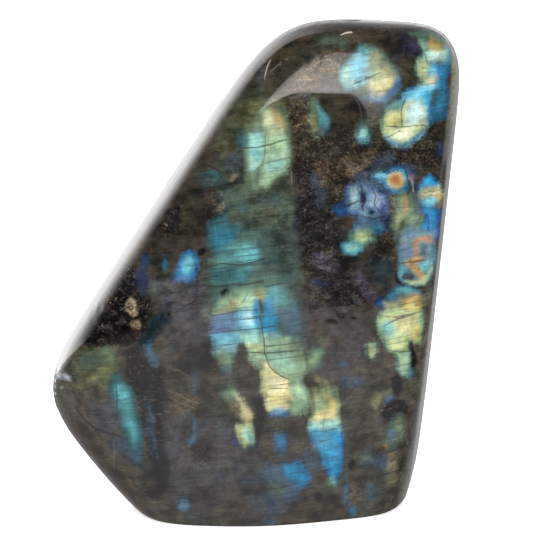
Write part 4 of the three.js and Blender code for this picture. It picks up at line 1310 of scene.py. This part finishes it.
# Amounts that grow with a noise, a crystal's number or a painted amount: which one, where
# it starts and ends, and the amount at each.
BODY_SHADES = (
    ("clouds", 0.3, 0.7, 0.45, 1.5),
    ("blotch", 0.3, 0.72, 0.8, 1.25),
    ("fine", 0.3, 0.75, 0.86, 1.16),
    ("grains", 0.3, 0.75, 0.88, 1.14),
)
FLASH_SHADES = (
    ("edge", -0.5, 2.2, 0.62, 1.0),
    ("fibres", 0.28, 0.72, 0.88, 1.07),
    ("bands", 0.34, 0.68, 0.9, 1.06),
    ("twins", 0.35, 0.7, 0.92, 1.05),
    ("clouds", 0.3, 0.7, 0.78, 1.12),
    ("blotch", 0.32, 0.68, 0.85, 1.07),
    ("fine", 0.3, 0.75, 0.95, 1.05),
)
WEAVE, WEAVE_PLACES = ("fibres", 0.3, 0.72, 0.78, 1.26), ("mist", 0.35, 0.6)
GRIT_SHADES = (("clump 1", 0.0, 1.0, 0.6, 1.3), ("grain 1", 0.0, 1.0, 0.5, 1.6))
BROWN_CLUMPS = ("clump 2", 0.75, 0.98, 0.0, 0.2)
# grains that get a painted glint, and the patches where glints and curls show
GLINTING_GRAINS, PALE_PATCHES = ("grain 2", 0.9, 0.95), ("blotch", 0.46, 0.6)
PALE_CLOUDS, THICK_GRIT = ("clouds", 0.4, 0.58, 0.4, 1.0), ("grit", 0.86, 1.0)
FLASH_CLOUDS = ("clouds", 0.32, 0.6, 0.74, 1.0)
FLASH_PITS = ("grain 1", 0.0, 0.45, 0.45, 1.0)
STRATA_PLACES, HAIR_PLACES = ("clouds", 0.4, 0.6, 0.2, 0.7), ("mist", 0.45, 0.62, 0.0, 0.4)
SEAM_PLACES = ("blotch", 0.42, 0.62, 0.0, 0.6)
DIM_LAGOON, DIM_WILLOW = ("hue", 0.4, 0.55), ("hue", 0.56, 0.66)
BACK_PALE, BACK_STAINED = ("speck", 0.32, 0.68), ("stain", 0.53, 0.68, 0.0, 0.7)
BACK_TEAL = ("block 2", 0.6, 0.9, 0.0, 0.35)
BACK_SHADES = (("block 1", 0.0, 1.0, 0.8, 1.25), ("clouds", 0.35, 0.65, 0.7, 1.25))
POLISH = ("grit", 0.3, 1.0, 0.035, 0.11)
BACK_SPECKS, BACK_BLOCKS = ("speck", 0.35, 0.6, 0.0, 0.2), ("block 3", 0.5, 0.9, 0.46, 0.22)


class Nodes:
    """Short ways of adding and joining a material's nodes."""

    def __init__(self, tree):
        self.tree = tree
        self.here = self.add("TexCoord").outputs["Object"]
        self.made = {}

    def add(self, kind, **settings):
        node = self.tree.nodes.new("ShaderNode" + kind)
        for key, value in settings.items():
            setattr(node, key, value)
        return node

    def put(self, socket, value):
        if isinstance(value, bpy.types.NodeSocket):
            self.tree.links.new(value, socket)
        elif isinstance(value, (int, float)) or len(value) == len(socket.default_value):
            socket.default_value = value
        else:
            socket.default_value = (*value, 1)

    def fill(self, node, *values):
        """Puts values in a node's first inputs, and gives its first output."""
        for socket, value in zip(node.inputs, values):
            self.put(socket, value)
        return node.outputs[0]

    def math(self, operation, *values, clamp=False):
        return self.fill(self.add("Math", operation=operation, use_clamp=clamp), *values)

    def product(self, first, *others):
        for other in others:
            first = self.math("MULTIPLY", first, other)
        return first

    def range(self, value, low, high, to_low=0.0, to_high=1.0):
        node = self.add("MapRange", interpolation_type="SMOOTHSTEP")
        return self.fill(node, value, low, high, to_low, to_high)

    def mix(self, amount, a, b, blend="MIX"):
        node = self.add("Mix", data_type="RGBA", blend_type=blend)
        self.put(node.inputs["Factor"], amount)
        self.put(node.inputs[6], a)
        self.put(node.inputs[7], b)
        return node.outputs[2]

    def shade(self, color, amount):
        """A colour times a number that is a socket."""
        gray = self.fill(self.add("CombineColor"), amount, amount, amount)
        return self.mix(1.0, color, gray, blend="MULTIPLY")

    def place(self, scale, tilt, offset):
        """Places on the stone, in units of the given lengths in mm along each axis."""
        turned = self.add("Mapping", vector_type="POINT")
        self.put(turned.inputs["Vector"], self.here)
        turned.inputs["Rotation"].default_value = (0, tilt, 0)
        scaled = self.add("Mapping", vector_type="POINT")
        self.put(scaled.inputs["Vector"], turned.outputs[0])
        scaled.inputs["Scale"].default_value = [1 / (s * MM) for s in scale]
        scaled.inputs["Location"].default_value = offset
        return scaled.outputs[0]

    def noise(self, scale, tilt, detail, rough, offset):
        node = self.add("TexNoise")
        self.put(node.inputs["Vector"], self.place(scale, tilt, offset))
        node.inputs["Scale"].default_value = 1
        node.inputs["Detail"].default_value = detail
        node.inputs["Roughness"].default_value = rough
        return node.outputs["Fac"]

    def crystals(self, name):
        """Keeps each crystal's random numbers as "name 1", "name 2" and "name 3"."""
        scale, offset = CRYSTALS[name]
        node = self.add("TexVoronoi", feature="F1")
        self.put(node.inputs["Vector"], self.place(scale, 0, offset))
        node.inputs["Scale"].default_value = 1
        numbers = self.add("SeparateColor")
        self.put(numbers.inputs[0], node.outputs["Color"])
        for number, socket in enumerate(numbers.outputs, 1):
            self.made[f"{name} {number}"] = socket

    def source(self, name):
        """A noise, a crystal's number or a painted amount, made once."""
        if name not in self.made:
            if name in NOISES:
                self.made[name] = self.noise(*NOISES[name])
            elif name.split()[0] in CRYSTALS:
                self.crystals(name.split()[0])
            else:
                self.made[name] = self.add("Attribute", attribute_name=name).outputs["Fac"]
        return self.made[name]

    def amount(self, row):
        name, *reach = row
        return self.range(self.source(name), *reach)

    def shading(self, rows):
        return self.product(*(self.amount(row) for row in rows))

    def tinted(self, color, tints):
        for *row, tint in tints:
            color = self.mix(self.amount(row), color, tint, blend="MULTIPLY")
        return color

    def contours(self, name):
        """Thin lines along the contours of a noise."""
        count, full, end, strength = CONTOURS[name]
        wave = self.math("FRACT", self.product(self.source(name), count))
        away = self.math("ABSOLUTE", self.math("SUBTRACT", wave, 0.5))
        return self.range(away, full, end, strength, 0.0)


def ragged_edge(n):
    """Pixels by which the grain frays a flash's edge."""
    shift = 0.0
    for name, pixels in RAGGED.items():
        shift = n.math("MULTIPLY_ADD", n.math("SUBTRACT", n.source(name), 0.5), pixels, shift)
    return shift


def body_look(n):
    """The feldspar's grey, with fogs of teal, brown and blue in it."""
    color = n.add("Attribute", attribute_name="body").outputs["Color"]
    weave = n.math("POWER", n.amount(WEAVE), n.amount(WEAVE_PLACES))
    shade = n.product(n.shading(BODY_SHADES), weave)
    return n.shade(n.tinted(color, BODY_TINTS), shade)


def glints_and_curls(n):
    """Painted glints where grains catch the light, and thin pale curls of the crystals."""
    grains = n.amount(GLINTING_GRAINS)
    curls = n.product(n.contours("curls"), n.amount(THICK_GRIT))
    pale = n.math("MAXIMUM", grains, curls)
    return n.product(pale, n.amount(PALE_PATCHES), n.amount(PALE_CLOUDS), GLINT_AND_CURL_SHARE)


def grit_look(n, body):
    """Dark grains with fissures between them, brown clumps, and a few painted glints and pale curls."""
    color = n.mix(n.amount(BROWN_CLUMPS), body, linear(RUST))
    color = n.shade(color, n.shading(GRIT_SHADES))
    # the colour of the painted glints and the curls, from buff to fawn
    pale = n.mix(n.source("grain 3"), linear(BUFF), linear(FAWN))
    color = n.mix(glints_and_curls(n), color, pale)
    return n.mix(n.contours("fissures"), color, linear(INK))


def lamella_lines(n):
    """Thin dark lines across the flashes, and fainter ones down them."""
    strata = n.product(n.contours("strata"), n.amount(STRATA_PLACES))
    hairs = n.product(n.contours("hairs"), n.amount(HAIR_PLACES))
    return n.product(n.math("MAXIMUM", strata, hairs), n.source("lamella"))


def flash_look(n, flash, ragged, glow):
    """The flashes: banded and lined by the lamellae, bluer at their edges on the right."""
    color = n.shade(flash.outputs["Color"], glow)
    depth = n.math("MULTIPLY_ADD", ragged, HALO_RAGGED, n.source("edge"))
    across = n.add("SeparateXYZ")
    halo = n.product(n.range(depth, *HALO_DEPTH), n.range(n.fill(across, n.here), *HALO_EAST))
    color = n.mix(halo, color, HALO, blend="MULTIPLY")
    color = n.tinted(color, FLASH_TINTS)
    color = n.mix(lamella_lines(n), color, linear(DEEP_TEAL))
    return n.mix(n.source("grit"), color, n.shade(color, n.amount(FLASH_PITS)))


def flash_cover(n, flash, ragged):
    """Where the flashes hide the body."""
    inside = n.range(n.math("ADD", n.source("edge"), ragged), *FLASH_EDGE)
    return n.product(inside, flash.outputs["Alpha"], n.amount(FLASH_CLOUDS))


def front_look(n, ragged, glow):
    body = body_look(n)
    body = n.mix(n.source("grit"), body, grit_look(n, body))
    flash = n.add("Attribute", attribute_name="flash")
    color = n.mix(flash_cover(n, flash, ragged), body, flash_look(n, flash, ragged, glow))
    seams = n.product(n.contours("seams"), n.amount(SEAM_PLACES))
    return n.mix(seams, color, linear(INK))


def crack_ink(n, name, thinned):
    """How strongly a dark crack and a pale line show. The pale lines are scratches and one painted
    glint.
    """
    away = n.math("ABSOLUTE", n.source(name + "_away"))
    spread_out = n.math("SUBTRACT", away, n.source(name + "_half"))
    line = n.range(n.math("ADD", spread_out, thinned), *CRACK_EDGE)
    dark = n.source(name + "_dark")
    pale = n.product(dark, -1.0)
    return n.math("MULTIPLY", line, dark, clamp=True), n.math("MULTIPLY", line, pale, clamp=True)


def cracks_look(n, color):
    """Cracks, pale scratches and a painted glint over a colour. Also says how dark the cracks are."""
    thinned = n.product(n.math("SUBTRACT", n.source("clouds"), 0.5), CRACK_THINNED)
    darkest = 0.0
    for name in CRACK_RUNS:
        ink, pale = crack_ink(n, name, thinned)
        color = n.mix(ink, color, linear(COAL))
        # pale scratches, and the one painted glint, in bone
        color = n.mix(pale, color, linear(BONE))
        darkest = n.math("MAXIMUM", darkest, ink)
    return color, darkest


def flank_look(n, color, ragged, glow):
    """The polished sides: a few dim flashes of their own."""
    flash = n.mix(n.amount(DIM_LAGOON), linear(LAKE), linear(LAGOON))
    flash = n.mix(n.amount(DIM_WILLOW), flash, linear(WILLOW))
    flash = n.shade(flash, n.product(glow, DIM_GLOW))
    patches = n.range(n.math("MULTIPLY_ADD", ragged, DIM_RAGGED, n.source("dim")), *DIM_PATCHES)
    return n.mix(n.product(patches, n.source("flank")), color, flash)


def back_look(n):
    """The broken back: cleavage blocks, fine grains and iron stains."""
    color = n.mix(n.amount(BACK_PALE), linear(UMBER), linear(PALE_BREAK))
    color = n.mix(n.amount(BACK_TEAL), color, linear(DEEP_TEAL))
    color = n.shade(color, n.shading(BACK_SHADES))
    return n.mix(n.amount(BACK_STAINED), color, linear(IRON_STAIN))


def dullness(n, cracked):
    """Roughness: polished, duller in grit and cracks, uneven on the broken back."""
    polished = n.math("MAXIMUM", n.amount(POLISH), n.product(cracked, CRACK_DULL))
    broken = n.math("ADD", n.amount(BACK_SPECKS), n.amount(BACK_BLOCKS))
    mixed = n.add("Mix", data_type="FLOAT")
    n.put(mixed.inputs[0], n.source("rough"))
    n.put(mixed.inputs[2], polished)
    n.put(mixed.inputs[3], broken)
    return mixed.outputs[0]


def broken_relief(n):
    """Small cleavage steps and grains of the broken back."""
    height = 0.0
    for name, share in RELIEF_PARTS.items():
        height = n.math("MULTIPLY_ADD", n.source(name), share, height)
    bump = n.add("Bump")
    bump.inputs["Distance"].default_value = RELIEF
    bump.inputs["Strength"].default_value = 1
    n.put(bump.inputs["Height"], n.product(height, n.source("rough")))
    return bump.outputs[0]


def labradorite_material():
    material = bpy.data.materials.new("labradorite")
    material.use_nodes = True
    shader = material.node_tree.nodes["Principled BSDF"]
    n = Nodes(material.node_tree)
    ragged, glow = ragged_edge(n), n.shading(FLASH_SHADES)
    color, cracked = cracks_look(n, front_look(n, ragged, glow))
    color = flank_look(n, color, ragged, glow)
    color = n.mix(n.source("rough"), color, back_look(n))
    n.put(shader.inputs["Base Color"], color)
    n.put(shader.inputs["Roughness"], dullness(n, cracked))
    n.put(shader.inputs["Normal"], broken_relief(n))
    shader.inputs["IOR"].default_value = IOR_FELDSPAR
    return material


# ---------------------------------------------------------------- the stone
def make_stone():
    mesh, points, rough = stone_mesh()
    paint_stone(mesh, points, rough)
    stone = bpy.data.objects.new("labradorite_stone", mesh)
    bpy.context.scene.collection.objects.link(stone)
    for polygon in mesh.polygons:
        polygon.use_smooth = True
    mesh.materials.append(labradorite_material())
    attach(stone, "root")
    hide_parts("labradorite")
    return stone


bpy.context.scene.view_settings.view_transform = "Standard"
make_camera()
make_world()
make_lights()
make_floor()
make_stone()
